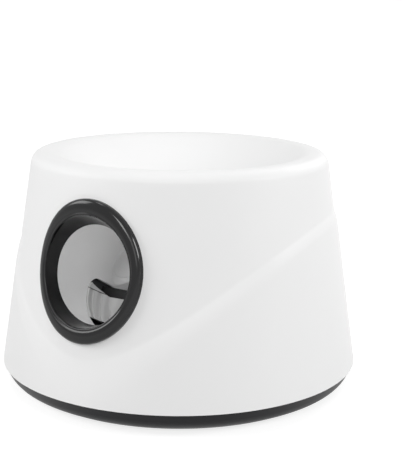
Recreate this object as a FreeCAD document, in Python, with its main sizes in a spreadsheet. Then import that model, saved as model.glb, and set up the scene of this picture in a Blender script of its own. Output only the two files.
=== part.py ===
"""Automatic dog ball launcher: a truncated-cone housing with a feed bowl on top, a round exit in
its front wall and, inside, a rack-and-gear driven striker that two springs throw forward.

Millimetres. +Z is up, the exit faces -Y, and the origin is the middle of the base on the ground.
"""
import FreeCAD, Part
import math
import os
import re
import Sketcher
from FreeCAD import Placement, Rotation, Vector

doc = FreeCAD.newDocument("BallLauncher")
sheet = doc.addObject("Spreadsheet::Sheet", "Sizes")

SIZES = (
    # housing
    ("seam_radius", 134.62, "half the overall width, where the white shell meets the black base"),
    ("overall_height", 175.26, "ground to the top of the rim"),
    ("seam_height", 17.5, "height of the parting line"),
    ("crown_radius", 111.0, "radius of the cone if it ran on to the overall height"),
    ("wall", 2.6, "moulded wall of shell and base"),
    ("rim_round", 9.0, "outer rounding of the rim"),
    ("bowl_mouth_radius", 93.0, "radius where the bowl's slope would meet the top"),
    ("bowl_parting", 100.0, "edge of the bowl's moulding, on the flat of the rim"),
    ("ledge_depth", 3.5, "ledge under the bowl's edge, each way from the parting"),
    ("bowl_round", 18.0, "rounding from the rim into the bowl"),
    ("bowl_floor_height", 134.0, "height of the foot of the bowl's slope"),
    ("throat_radius", 30.2, "hole at the foot of the bowl and bore of the feed chute"),
    ("neck_drop", 6.0, "length of the neck under the bowl"),
    ("crease_step", 1.5, "how far the lower skin stands proud of the upper one"),
    ("crease_y", 25.2, "centre of the crease's arc, behind the middle"),
    ("crease_depth", 50.2, "centre of the crease's arc, below the ground"),
    ("crease_radius", 184.0, "radius of the crease's arc, seen from the side"),
    # base
    ("foot_stand", 1.5, "ground to the underside of the base"),
    ("base_foot_radius", 118.0, "radius of the flat underside"),
    ("base_belly", 5.0, "how far the base's flank bulges"),
    # exit and launch line
    ("exit_height", 107.0, "middle of the exit ring"),
    ("ring_half_width", 41.4, "outer half width of the ring"),
    ("ring_half_height", 49.0, "outer half height of the ring"),
    ("lip_half_width", 34.6, "inner half width of the ring"),
    ("lip_half_height", 38.0, "inner half height of the ring"),
    ("ring_proud", 5.0, "how far the ring stands off the wall"),
    ("ring_wall", 2.2, "wall of the ring's sleeve"),
    ("launch_angle", 30.0, "slope of the launch tube, in degrees"),
    ("mouth_forward", 112.0, "middle of the tube's mouth, in front of the axis"),
    ("mouth_height", 104.0, "middle of the tube's mouth, above the ground"),
    ("mouth_setback", 3.5, "front end of the tube, down the tube from there"),
    ("lug_offset", 28.0, "screws that hold the tube to the chassis, down the tube"),
    ("lug_lift", 12.0, "those screws above the tube's axis"),
    ("tube_radius", 32.0, "bore of the launch tube"),
    ("tube_wall", 2.4, "wall of launch tube and feed chute"),
    ("cradle_start", 44.4, "where the tube's lower half is cut away, down the tube"),
    ("cradle_edge", 8.0, "height of the cut's long edge over the tube's axis"),
    ("cradle_corner", 9.0, "rounding at the cut's corner"),
    ("feed_offset", 74.0, "feed chute's axis, down the tube"),
    ("barrel_end", 110.0, "rear end of the launch tube"),
    # striker
    ("stroke", 52.0, "travel of the striker"),
    ("striker_front", 45.0, "front of the striker's head at rest, down the tube"),
    ("striker_depth", 22.0, "thickness of the striker's head"),
    ("striker_radius", 33.5, "radius of the striker's head"),
    ("striker_foot", 22.0, "underside of the head below the tube's axis"),
    ("lip_front", 3.2, "height of the head's edge at the front"),
    ("lip_rear", -2.4, "height of the head's edge at the back"),
    ("lip_chamfer", 1.2, "depth of the chamfer at the front of that edge"),
    ("bridge_half_width", 10.0, "middle of the head's back, which rises between the edges"),
    ("cup_radius", 31.0, "radius of the hollow that takes the ball"),
    ("cup_depth", 19.5, "depth of the hollow to its flat back"),
    ("rib_turn", 15.0, "turn between the ribs in the hollow, in degrees"),
    ("rib_depth", 0.8, "depth of the grooves between the ribs"),
    ("gear_notch", 6.5, "half width of the slot that clears the release gear"),
    ("deck_low", 3.0, "underside of the carriage deck over the tube's axis"),
    ("deck_thick", 3.0, "thickness of the carriage deck"),
    ("deck_half_width", 29.0, "half width of the carriage deck"),
    ("deck_length", 43.0, "length of the carriage deck"),
    ("front_plate", 2.5, "thickness of the carriage's front plate"),
    ("wing_length", 12.0, "length of each wing that runs in a slot"),
    ("slide_gap", 0.3, "clearance of sliding parts"),
    # gears
    ("rack_module", 1.5, "module of rack and release gear"),
    ("rack_half_width", 5.0, "half the width of the rack"),
    ("gear_offset", 130.0, "release gear's axis, down the tube"),
    ("pressure_angle", 25.0, "of every tooth, in degrees"),
    ("tooth_thinning", 0.16, "backlash taken off each tooth's thickness"),
    ("release_teeth", 20, "full circle of the release gear"),
    ("release_teeth_left", 12, "teeth the release gear really has"),
    ("drive_teeth", 30, "wheel on the release shaft"),
    ("drive_module", 1.25, "its module"),
    ("middle_teeth", 42, "wheel of the second stage"),
    ("middle_module", 1.0, "its module"),
    ("fast_teeth", 40, "wheel of the first stage"),
    ("fast_module", 0.8, "its module"),
    ("pinion_teeth", 12, "every pinion"),
    ("middle_turn", 20.0, "direction from release shaft to second axle, degrees above level"),
    ("fast_turn", 45.0, "direction from second axle to first axle"),
    ("motor_turn", 80.0, "direction from first axle to motor"),
    ("shaft_radius", 3.0, "release shaft"),
    ("axle_radius", 2.0, "fixed axles of the loose wheels"),
    ("running_gap", 0.05, "radial clearance of a running fit"),
    ("bush_wall", 2.0, "wall of the shaft bushes"),
    ("motor_radius", 14.0, "motor can"),
    ("motor_length", 38.0, "motor can"),
    ("rotor_radius", 1.15, "motor shaft"),
    # chassis
    ("plate_inside", 35.5, "inner face of each chassis plate from the middle"),
    ("plate_thick", 3.0, "chassis plates"),
    ("gearbox_inside", 47.0, "inner face of the gearbox plate from the middle"),
    ("gearbox_plate", 2.5, "gearbox plate and cover"),
    ("cover_inside", 65.0, "inner face of the gearbox cover from the middle"),
    ("spacer_radius", 3.5, "spacers between plates and posts"),
    ("screw_radius", 1.4, "shank of the small screws"),
    ("screw_head_radius", 2.9, "head of the small screws"),
    ("screw_head", 2.0, "height of the small screws' heads"),
    ("spring_radius", 3.2, "outer radius of each draw spring"),
    ("spring_wire", 1.0, "wire of each draw spring"),
    ("spring_side", 42.8, "draw spring's axis from the middle"),
    ("spring_anchor", 20.0, "front pin of the draw springs, down the tube"),
    ("pin_radius", 1.8, "pins that hold the draw springs"),
    # batteries
    ("cell_radius", 13.1, "C cell"),
    ("cell_length", 50.0, "C cell"),
    ("bay_middle", 71.0, "middle of the battery bay to the left of the axis"),
    ("bay_half_width", 27.5, "inside half width of the battery bay"),
    ("bay_half_length", 55.5, "inside half length of the battery bay"),
    ("bay_top", 33.5, "height of the inside of the bay"),
    ("bay_wall", 2.5, "walls of the bay"),
    ("door_thick", 2.0, "battery door"),
    ("door_gap", 0.4, "gap round the battery door"),
    # electronics and controls
    ("panel_height", 78.0, "middle of the rear control panel"),
    ("panel_half_width", 39.0, "rear control panel"),
    ("panel_half_height", 20.0, "rear control panel"),
    ("panel_corner", 8.0, "corner radius of the rear control panel"),
    ("panel_proud", 1.2, "how far the panel stands off the wall"),
    ("panel_flange", 2.0, "how far the panel's edge laps over the wall"),
    ("button_radius", 7.0, "power and distance buttons"),
    ("button_spread", 22.0, "each button from the middle of the panel"),
    ("button_travel", 1.5, "travel of the buttons"),
    ("lamp_radius", 1.7, "indicator lenses"),
    ("lamp_pitch", 9.0, "spacing of the indicator lenses"),
    ("board_thick", 1.6, "circuit boards"),
    ("switch_board_depth", 14.0, "front of the switch board behind the wall"),
    ("inlet_height", 38.0, "power inlet"),
    ("inlet_radius", 5.5, "barrel of the power inlet"),
    ("inlet_bore", 2.8, "bore of the power inlet"),
    ("inlet_pin", 1.0, "centre pin of the power inlet"),
    ("speaker_y", 84.0, "speaker, behind the middle"),
    ("speaker_radius", 18.0, "speaker frame"),
    ("sound_hole", 1.6, "radius of each hole under the speaker"),
    ("switch_offset", 176.0, "screw of the home switch, down the tube"),
    ("switch_lift", 4.0, "that screw above the tube's axis"),
    ("post_x", 31.0, "posts of the switch board, from the middle of the panel"),
    ("post_y", 11.0, "posts of the switch board, from the middle of the panel"),
    ("board_front", 68.0, "front edge of the main board"),
    ("board_rear", 31.5, "rear edge of the main board"),
    ("board_width", 48.0, "main board, along X"),
    ("board_inset", 4.0, "screws of the main board from its edges"),
    ("flange_inset", 5.0, "screws of the chassis feet from the plates' inner faces"),
    ("foot_radius", 9.0, "rubber feet"),
    ("foot_circle", 100.0, "circle of the feet"),
    ("foot_pocket", 1.0, "depth of the pockets the feet sit in"),
    ("base_screw_circle", 110.0, "circle of the screws that close the housing"),
    ("base_screw_count", 6, "screws that close the housing"),
    ("boss_radius", 4.5, "screw bosses"),
    ("boss_top", 40.0, "top of the shell's screw bosses"),
)
for row, (alias, value, note) in enumerate(SIZES, 1):
    sheet.set("A%d" % row, alias)
    sheet.set("B%d" % row, repr(value))
    sheet.setAlias("B%d" % row, alias)
    sheet.set("C%d" % row, note)
doc.recompute()
ALIASES = {alias for alias, value, note in SIZES}


# ---------------------------------------------------------------- expressions and simple solids
def bound(text):
    """The expression with each alias looked up in the sheet."""
    return re.sub(r"[a-z]\w*", lambda word: "Sizes." + word[0] if word[0] in ALIASES else word[0], text)


def number(text):
    """The value of an expression, for what only code can work out."""
    return float(sheet.evalExpression(bound(text)))


def put(thing, x="0", y="0", z="0", turn=None, about=(1, 0, 0)):
    """Place an object by expressions: a position and a turn in degrees about one axis."""
    if turn is not None:
        thing.Placement = Placement(Vector(), Rotation(Vector(*about), number(turn) or 1e-9))
        thing.setExpression("Placement.Rotation.Angle", bound(turn))
    for axis, text in zip("xyz", (x, y, z)):
        thing.setExpression("Placement.Base." + axis, bound(text))
    return thing


def box(x0, x1, y0, y1, z0, z1):
    """A block between pairs of expressions."""
    solid = doc.addObject("Part::Box", "Block")
    for side, low, high in (("Length", x0, x1), ("Width", y0, y1), ("Height", z0, z1)):
        solid.setExpression(side, bound("(%s) - (%s)" % (high, low)))
    return put(solid, x0, y0, z0)


def rod(axis, radius, start, end, across, up):
    """A cylinder along x, y or z from start to end; the other two coordinates follow in order."""
    solid = doc.addObject("Part::Cylinder", "Rod")
    solid.setExpression("Radius", bound(radius))
    solid.setExpression("Height", bound("(%s) - (%s)" % (end, start)))
    if axis == "x":
        return put(solid, start, across, up, "90", (0, 1, 0))
    if axis == "y":
        return put(solid, across, start, up, "-90", (1, 0, 0))
    return put(solid, across, up, start)


def cone(low_radius, high_radius, low, high):
    """A frustum on the Z axis."""
    solid = doc.addObject("Part::Cone", "Frustum")
    solid.setExpression("Radius1", bound(low_radius))
    solid.setExpression("Radius2", bound(high_radius))
    solid.setExpression("Height", bound("(%s) - (%s)" % (high, low)))
    return put(solid, "0", "0", low)


def fuse(*solids):
    joined = doc.addObject("Part::MultiFuse", "Fusion")
    joined.Shapes = list(solids)
    return joined


def common(*solids):
    shared = doc.addObject("Part::MultiCommon", "Overlap")
    shared.Shapes = list(solids)
    return shared


def cut(solid, *tools):
    rest = doc.addObject("Part::Cut", "Cut")
    rest.Base = solid
    rest.Tool = tools[0] if len(tools) == 1 else fuse(*tools)
    return rest


def group(*solids):
    several = doc.addObject("Part::Compound", "Group")
    several.Links = list(solids)
    return several


def body_plane(body, role):
    return [plane for plane in body.Origin.OriginFeatures if plane.Role == role][0]


def outline(body, role, corners, lift="0"):
    """A closed sketch on one of the body's planes, each corner held by two bound dimensions."""
    sketch = body.newObject("Sketcher::SketchObject", "Outline")
    sketch.AttachmentSupport = [(body_plane(body, role), "")]
    sketch.MapMode = "FlatFace"
    sketch.setExpression("AttachmentOffset.Base.z", bound(lift))
    spots = [Vector(number(across), number(up), 0) for across, up in corners]
    for index, spot in enumerate(spots):
        sketch.addGeometry(Part.LineSegment(spot, spots[(index + 1) % len(spots)]))
    for index in range(len(spots)):
        sketch.addConstraint(Sketcher.Constraint("Coincident", index, 2, (index + 1) % len(spots), 1))
    for index, spot in enumerate(spots):
        for kind, value, text in zip(("DistanceX", "DistanceY"), spot, corners[index]):
            held = sketch.addConstraint(Sketcher.Constraint(kind, -1, 1, index, 1, value))
            sketch.setExpression("Constraints[%d]" % held, bound(text))
    return sketch


def prism(role, corners, start, end):
    """A body padded from an outline between two distances along the plane's normal."""
    body = doc.addObject("PartDesign::Body", "Prism")
    pad = body.newObject("PartDesign::Pad", "Pad")
    pad.Profile = outline(body, role, corners, start)
    pad.setExpression("Length", bound("(%s) - (%s)" % (end, start)))
    return body


def turned(corners):
    """A body turned about the Z axis from corners given as radius and height."""
    body = doc.addObject("PartDesign::Body", "Turned")
    sketch = outline(body, "XZ_Plane", corners)
    turn = body.newObject("PartDesign::Revolution", "Turn")
    turn.Profile = sketch
    turn.ReferenceAxis = (sketch, ["V_Axis"])
    turn.Angle = 360
    return body


def soften(body, radius, test):
    """Fillet the edges of a body that pass a test on their middle point."""
    doc.recompute()
    edges = ["Edge%d" % (index + 1) for index, edge in enumerate(body.Shape.Edges)
             if test(edge, edge.CenterOfMass)]
    base = body.Tip
    fillet = body.newObject("PartDesign::Fillet", "Fillet")
    fillet.Base = (base, edges)
    fillet.setExpression("Radius", bound(radius))
    return body


# ---------------------------------------------------------------- frames
LEAN = "(atan((seam_radius - crown_radius) / (overall_height - seam_height)) / 1 deg)"


def wall_radius(height, inset="0"):
    """Radius of the lower skin at a height, less an inset."""
    slope = "(seam_radius - crown_radius) / (overall_height - seam_height)"
    return "(seam_radius - (%s - seam_height) * %s - (%s))" % (height, slope, inset)


def in_launch(thing):
    """Local +Y runs down the launch tube from its mouth, +Z square to it and up."""
    return put(group(thing), "0", "-mouth_forward", "mouth_height", "-launch_angle")


def in_exit(thing):
    """Local +Z points out of the front wall at the exit, +Y up the wall."""
    return put(group(thing), "0", "-" + wall_radius("exit_height", "crease_step"), "exit_height",
               "90 - " + LEAN)


def in_panel(thing):
    """Local +Z points out of the rear wall at the control panel, +Y down the wall."""
    return put(group(thing), "0", wall_radius("panel_height"), "panel_height", LEAN + " - 90")


NODES = []


def node(name, thing, frame=None):
    """Name a finished sub-part, and seat it if it was made in a frame of its own."""
    if frame:
        thing = frame(thing)
    thing.Label = name
    NODES.append(thing)
    return thing


def polar(count, first=0.0):
    """Angles, in degrees, of a number of even places round a circle."""
    return [first + 360.0 * index / count for index in range(int(count))]


FLOOR = "(foot_stand + wall)"
PILLAR_TOP = "(foot_stand + wall + 4)"


def rim_radius(rise):
    """Radius of the base's locating rim, just inside the shell's wall."""
    return wall_radius("(seam_height + %s)" % rise, "crease_step + wall + slide_gap")


def round_over(solid, radius, test):
    """Fillet the edges of any object that pass a test on the edge and its middle."""
    doc.recompute()
    fillet = doc.addObject("Part::Fillet", "Fillet")
    fillet.Base = solid
    fillet.Edges = [(index + 1, number(radius), number(radius))
                    for index, edge in enumerate(solid.Shape.Edges) if test(edge, edge.CenterOfMass)]
    return fillet


def rounded_bar(half_width, half_height, corner, low, high):
    """A bar along local Z with a rounded rectangular section."""
    left, foot = "-(%s)" % half_width, "-(%s)" % half_height
    body = prism("XY_Plane", [(left, foot), (half_width, foot), (half_width, half_height),
                              (left, half_height)], low, high)
    return soften(body, corner, lambda edge, middle: abs(edge.Vertexes[0].Z - edge.Vertexes[-1].Z) > 1)


def oval_loft(half_width, half_height, shift, height, low_width, low_height, low_shift, low):
    """A tapering oval bar along local Z."""
    rings = []
    for wide, high, move, level in ((half_width, half_height, shift, height),
                                    (low_width, low_height, low_shift, low)):
        ring = doc.addObject("Part::Ellipse", "Oval")
        ring.setExpression("MajorRadius", bound(high))
        ring.setExpression("MinorRadius", bound(wide))
        rings.append(put(ring, "0", move, level, "90", (0, 0, 1)))
    return loft(*rings)


def tooth_corners(module, teeth, middle):
    """One involute tooth's corners about an axis: each flank in two chords."""
    pitch_radius = module * teeth / 2
    press = math.radians(number("pressure_angle"))
    base_radius = pitch_radius * math.cos(press)
    half_pitch = (math.pi * module - 2 * number("tooth_thinning")) / (4 * pitch_radius)
    root, tip = pitch_radius - 1.25 * module, pitch_radius + 0.9 * module
    low, high = [], []
    for radius in (root, max(base_radius, root + 0.2 * module), pitch_radius + 0.1 * module, tip):
        roll = math.acos(min(1.0, base_radius / radius))
        half = half_pitch + math.tan(press) - press - math.tan(roll) + roll
        low.append((radius, middle - half))
        high.insert(0, (radius, middle + half))
    return low + high


def gear(module, teeth, first, start, end, y, z, kept=None):
    """A spur gear turning about X: its first tooth stands at an angle from +Y towards +Z."""
    corners = []
    for index in range(int(number(kept or teeth))):
        middle = math.radians(number(first) + 360.0 * index / number(teeth))
        corners += tooth_corners(number(module), number(teeth), middle)
    root = number(module) * (number(teeth) / 2 - 1.25)
    if kept:
        away = [(root, corners[-1][1] + (2 * math.pi + corners[0][1] - corners[-1][1]) * part / 24)
                for part in range(1, 24)]
        corners += away
    spots = [Vector(-radius * math.sin(angle), radius * math.cos(angle), 0) for radius, angle in corners]
    face = doc.addObject("Part::Feature", "ToothOutline")
    face.Shape = Part.Face(Part.makePolygon(spots + spots[:1]))
    bar = doc.addObject("Part::Extrusion", "Teeth")
    bar.Base = face
    bar.DirMode = "Custom"
    bar.Dir = Vector(0, 0, 1)
    bar.setExpression("LengthFwd", bound("(%s) - (%s)" % (end, start)))
    bar.Solid = True
    return put(bar, start, y, z, "90", (0, 1, 0))


def screw(axis, seat, sense, across, up, length):
    """A pan-head screw: its head's underside at the seat, its shank going the given way."""
    head = (seat, "%s + screw_head" % seat) if sense < 0 else ("%s - screw_head" % seat, seat)
    shank = ("%s - (%s)" % (seat, length), seat) if sense < 0 else (seat, "%s + (%s)" % (seat, length))
    return fuse(rod(axis, "screw_head_radius", *head, across, up),
                rod(axis, "screw_radius", *shank, across, up))


def shaped_foot(x, y):
    """A rubber foot: a round pad that sits in its pocket."""
    foot = doc.addObject("PartDesign::Body", "Foot")
    pad = foot.newObject("PartDesign::AdditiveCylinder", "FootPad")
    pad.setExpression("Radius", bound("foot_radius - slide_gap"))
    pad.setExpression("Height", bound("foot_stand + foot_pocket"))
    return put(foot, x, y, "0")


def lens(x):
    """A light pipe in the panel, from just over its lamp to its domed end."""
    pipe = doc.addObject("PartDesign::Body", "Lens")
    stem = pipe.newObject("PartDesign::AdditiveCylinder", "LensStem")
    stem.setExpression("Radius", bound("lamp_radius"))
    stem.setExpression("Height", bound("switch_board_depth - slide_gap + 1.6"))
    return put(pipe, x, "0", "slide_gap - switch_board_depth")


# ---------------------------------------------------------------- housing
THROAT_Y = ("(feed_offset * cos(launch_angle) - mouth_forward + (bowl_floor_height - mouth_height"
            " + feed_offset * sin(launch_angle)) * tan(launch_angle))")
NECK_FOOT = "(bowl_floor_height - neck_drop)"


def circle(radius, y, z):
    ring = doc.addObject("Part::Circle", "Ring")
    ring.setExpression("Radius", bound(radius))
    return put(ring, "0", y, z)


def loft(*sections):
    skin = doc.addObject("Part::Loft", "Loft")
    skin.Sections = list(sections)
    skin.Solid = True
    skin.Ruled = True
    return skin


def bowl(grow, top):
    """The funnel from the rim to the throat, grown outwards for its underside."""
    reach = "(bowl_mouth_radius - throat_radius) / (overall_height - bowl_floor_height)"
    radius = "bowl_mouth_radius + (%s - overall_height) * %s + %s" % (top, reach, grow)
    shift = THROAT_Y + " * (overall_height - (%s)) / (overall_height - bowl_floor_height)" % top
    slope = loft(circle(radius, shift, top), circle("throat_radius + " + grow, THROAT_Y, "bowl_floor_height"))
    neck = rod("z", "throat_radius + " + grow, NECK_FOOT, "bowl_floor_height", "0", THROAT_Y)
    return fuse(slope, neck)


def ellipse_rod(half_width, half_height, low, high):
    """An elliptic cylinder along local Z, wide in X."""
    ring = doc.addObject("Part::Ellipse", "Oval")
    wide = number(half_width) > number(half_height)
    ring.setExpression("MajorRadius", bound(half_width if wide else half_height))
    ring.setExpression("MinorRadius", bound(half_height if wide else half_width))
    put(ring, "0", "0", low, "0" if wide else "90", (0, 0, 1))
    bar = doc.addObject("Part::Extrusion", "OvalRod")
    bar.Base = ring
    bar.DirMode = "Custom"
    bar.Dir = Vector(0, 0, 1)
    bar.setExpression("LengthFwd", bound("(%s) - (%s)" % (high, low)))
    bar.Solid = True
    return bar


def skin(inset, top="overall_height", bottom="seam_height"):
    """The lower skin's cone, less an inset."""
    return cone(wall_radius(bottom, inset), wall_radius(top, inset), bottom, top)


def radial(angle, radius):
    """Expressions for a place on a circle about the Z axis."""
    return "(%s) * cos(%s)" % (radius, angle), "(%s) * sin(%s)" % (radius, angle)


# The upper shell: cone, rim and bowl in one moulding. The lower skin is cut off by an arc that
# sweeps from under the exit up both flanks to the back.
crown = doc.addObject("PartDesign::Body", "Crown")
crown_cone = crown.newObject("PartDesign::AdditiveCone", "CrownCone")
crown_cone.setExpression("Radius1", bound(wall_radius("seam_height", "crease_step")))
crown_cone.setExpression("Radius2", bound(wall_radius("overall_height", "crease_step")))
crown_cone.setExpression("Height", bound("overall_height - seam_height"))
put(crown, "0", "0", "seam_height")
soften(crown, "rim_round", lambda edge, middle: middle.z > number("overall_height") - 1
       and len(edge.Vertexes) == 1 and edge.Curve.TypeId == "Part::GeomCircle")
below_crease = rod("x", "crease_radius", "-2 * seam_radius", "2 * seam_radius", "crease_y", "-crease_depth")
lower_skin = common(skin("0"), below_crease)
bowled = cut(fuse(crown, lower_skin), bowl("0", "overall_height"))
BOWL_FALL = ("atan((overall_height - bowl_floor_height) / (bowl_mouth_radius - throat_radius + %s))"
             % THROAT_Y)
BOWL_ROUND = "min(bowl_round; (bowl_parting - bowl_mouth_radius - 0.4) / tan(%s / 2))" % BOWL_FALL
rimmed = round_over(bowled, BOWL_ROUND, lambda edge, middle: middle.z > number("overall_height") - 0.1
                    and edge.Curve.Radius < number("bowl_mouth_radius") + 1)
hollow = doc.addObject("PartDesign::Body", "Hollow")
hollow_cone = hollow.newObject("PartDesign::AdditiveCone", "HollowCone")
hollow_cone.setExpression("Radius1", bound(wall_radius("foot_stand", "crease_step + wall")))
hollow_cone.setExpression("Radius2", bound(wall_radius("overall_height - wall", "crease_step + wall")))
hollow_cone.setExpression("Height", bound("overall_height - wall - foot_stand"))
put(hollow, "0", "0", "foot_stand")
soften(hollow, "rim_round - wall", lambda edge, middle: middle.z > number("overall_height - wall - 1")
       and len(edge.Vertexes) == 1 and edge.Curve.TypeId == "Part::GeomCircle")
cavity = cut(hollow, bowl("wall", "overall_height - wall"))
exit_hole = in_exit(ellipse_rod("lip_half_width + ring_wall + slide_gap",
                                "lip_half_height + ring_wall + slide_gap", "-30", "30"))
ring_screws = []
ring_holes = []
for side in (-1, 1):
    for level in (-1, 1):
        x = "%d * 0.7071 * (ring_half_width - 2.3)" % side
        y = "%d * 0.7071 * (ring_half_height - 2.4)" % level
        ring_screws.append(screw("z", "-8", 1, x, y, "8.5"))
        ring_holes.append(rod("z", "screw_radius + running_gap", "-9", "0.8", x, y))
ring_holes = in_exit(group(*ring_holes))
panel_hole = in_panel(rounded_bar("panel_half_width - panel_flange + slide_gap",
                                  "panel_half_height - panel_flange + slide_gap", "panel_corner",
                                  "-20", "10"))
INLET_FACE = wall_radius("inlet_height", "2")
inlet_hole = rod("y", "inlet_radius + slide_gap", "seam_radius - 20", "seam_radius + 5", "0", "inlet_height")
inlet_pocket = rod("y", "inlet_radius + 2.5", INLET_FACE, "seam_radius + 5", "0", "inlet_height")
posts = []
post_holes = []
for angle in polar(number("base_screw_count")):
    x, y = radial(repr(angle), "base_screw_circle")
    rib = group(box("base_screw_circle", "seam_radius", "-wall / 2", "wall / 2", "seam_height + 6",
                    "boss_top"))
    posts.append(put(rib, turn=repr(angle), about=(0, 0, 1)))
    posts.append(rod("z", "boss_radius", PILLAR_TOP, "boss_top", x, y))
    post_holes.append(rod("z", "screw_radius", PILLAR_TOP, PILLAR_TOP + " + 14", x, y))
bosses = common(fuse(*posts), skin("crease_step + wall - 0.8", "overall_height", "foot_stand"))
shell = fuse(cut(rimmed, cavity, exit_hole, ring_holes, panel_hole, inlet_hole, inlet_pocket), bosses)
# The bowl is a moulding of its own, dropped into the rim and held up by a ledge under its edge.
LEDGE_TOP = "(overall_height - wall)"
parting = rod("z", "bowl_parting", "bowl_floor_height / 2", "overall_height + 5", "0", "0")
ledge = cut(rod("z", "bowl_parting + ledge_depth", LEDGE_TOP + " - wall", LEDGE_TOP, "0", "0"),
            rod("z", "bowl_parting - ledge_depth", LEDGE_TOP + " - 2 * wall", "overall_height", "0", "0"))
node("upper_shell", fuse(cut(shell, parting, *post_holes), ledge))
node("feed_bowl", common(shell, parting))

# The base: a dish with a bulging flank, a rim that locates the shell, and the battery bay.
base_dish = turned([
    ("0", "foot_stand"), ("base_foot_radius", "foot_stand"),
    ("(base_foot_radius + seam_radius) / 2 + base_belly / 2", "(foot_stand + seam_height - base_belly) / 2"),
    ("seam_radius - slide_gap", "seam_height"),
    (rim_radius("0"), "seam_height"), (rim_radius("3.5"), "seam_height + 3.5"),
    (rim_radius("3.5") + " - wall", "seam_height + 3.5"),
    (rim_radius("3.5") + " - wall", "seam_height - wall"),
    ("base_foot_radius + wall", "foot_stand + 2 * wall"),
    ("base_foot_radius - wall", FLOOR), ("0", FLOOR)])
soften(base_dish, "3 * base_belly", lambda edge, middle: edge.Curve.TypeId == "Part::GeomCircle"
       and number("foot_stand") + 2 < edge.Vertexes[0].Z < number("seam_height") / 2
       and math.hypot(edge.Vertexes[0].X, edge.Vertexes[0].Y) > number("base_foot_radius") + 6)
BAY_LEFT = "-(bay_middle + bay_half_width)"
BAY_RIGHT = "(bay_half_width - bay_middle)"
bay_block = box(BAY_LEFT + " - bay_wall", BAY_RIGHT + " + bay_wall", "-(bay_half_length + bay_wall)",
                "bay_half_length + bay_wall", "foot_stand", "bay_top + bay_wall")
bay_void = box(BAY_LEFT, BAY_RIGHT, "-bay_half_length", "bay_half_length", "foot_stand - 5", "bay_top")
DOOR_HINGE_X = "(" + BAY_LEFT + " + door_gap + door_thick / 2)"
DOOR_HINGE_Z = "(foot_stand + door_thick / 2)"
hinge_holes = [rod("y", "0.45 * door_thick + running_gap", start, end, DOOR_HINGE_X, DOOR_HINGE_Z)
               for start, end in (("-(bay_half_length + 2.1)", "-(bay_half_length - 1)"),
                                  ("bay_half_length - 1", "bay_half_length + 2.1"))]
pillars = []
pillar_holes = []
base_screws = []
for angle in polar(number("base_screw_count")):
    x, y = radial(repr(angle), "base_screw_circle")
    pillars.append(rod("z", "boss_radius", "foot_stand", PILLAR_TOP, x, y))
    pillar_holes.append(rod("z", "screw_head_radius + slide_gap", "foot_stand - 1", "foot_stand + 3.5", x, y))
    pillar_holes.append(rod("z", "screw_radius + 0.1", "foot_stand", PILLAR_TOP + " + 1", x, y))
    base_screws.append(screw("z", "foot_stand + 3.5", 1, x, y, 15))
foot_places = [radial(repr(angle), "foot_circle") for angle in polar(4, 45.0)]
foot_pockets = [rod("z", "foot_radius", "foot_stand - 1", "foot_stand + foot_pocket", x, y)
                for x, y in foot_places]
sound_holes = [rod("z", "sound_hole", "0", FLOOR + " + 1", "0", "speaker_y")]
for angle in polar(8):
    x, y = radial(repr(angle), "speaker_radius * 0.55")
    sound_holes.append(rod("z", "sound_hole", "0", FLOOR + " + 1", x, y + " + speaker_y"))
node("base_screws", group(*base_screws))
node("rubber_feet", group(*[soften(shaped_foot(x, y), "1", lambda edge, middle: middle.z < 0.01)
                            for x, y in foot_places]))

# The exit ring: a flange that follows the wall's curve and a sleeve through it that narrows to
# the mouth of the launch tube.
MOUTH_DEPTH = ("((%s - mouth_forward) * cos(%s) + (exit_height - mouth_height) * sin(%s)"
               " + mouth_setback * cos(launch_angle - %s))"
               % (wall_radius("exit_height", "crease_step"), LEAN, LEAN, LEAN))
MOUTH_DROP = ("((exit_height - mouth_height) * cos(%s) - (%s - mouth_forward) * sin(%s)"
              " + mouth_setback * sin(launch_angle - %s))"
              % (LEAN, wall_radius("exit_height", "crease_step"), LEAN, LEAN))
MOUTH_HALF_HEIGHT = "(tube_radius / cos(launch_angle - %s))" % LEAN
ring_body = in_exit(ellipse_rod("ring_half_width", "ring_half_height", "-16", "16"))
sleeve_body = in_exit(ellipse_rod("lip_half_width + ring_wall", "lip_half_height + ring_wall",
                                  "-" + MOUTH_DEPTH, "16"))
flange = cut(common(ring_body, skin("crease_step - ring_proud")), rimmed)
sleeve = common(sleeve_body, skin("crease_step + 1 - ring_proud", "overall_height", "foot_stand"))
ring_void = in_exit(oval_loft("lip_half_width", "lip_half_height", "0", "0", "tube_radius",
                              MOUTH_HALF_HEIGHT, "-" + MOUTH_DROP, "-" + MOUTH_DEPTH))
ring_opening = in_exit(ellipse_rod("lip_half_width", "lip_half_height", "0", "20"))
node("exit_ring", cut(fuse(flange, sleeve), ring_void, ring_opening, ring_holes))
node("ring_screws", group(*ring_screws), in_exit)

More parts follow.
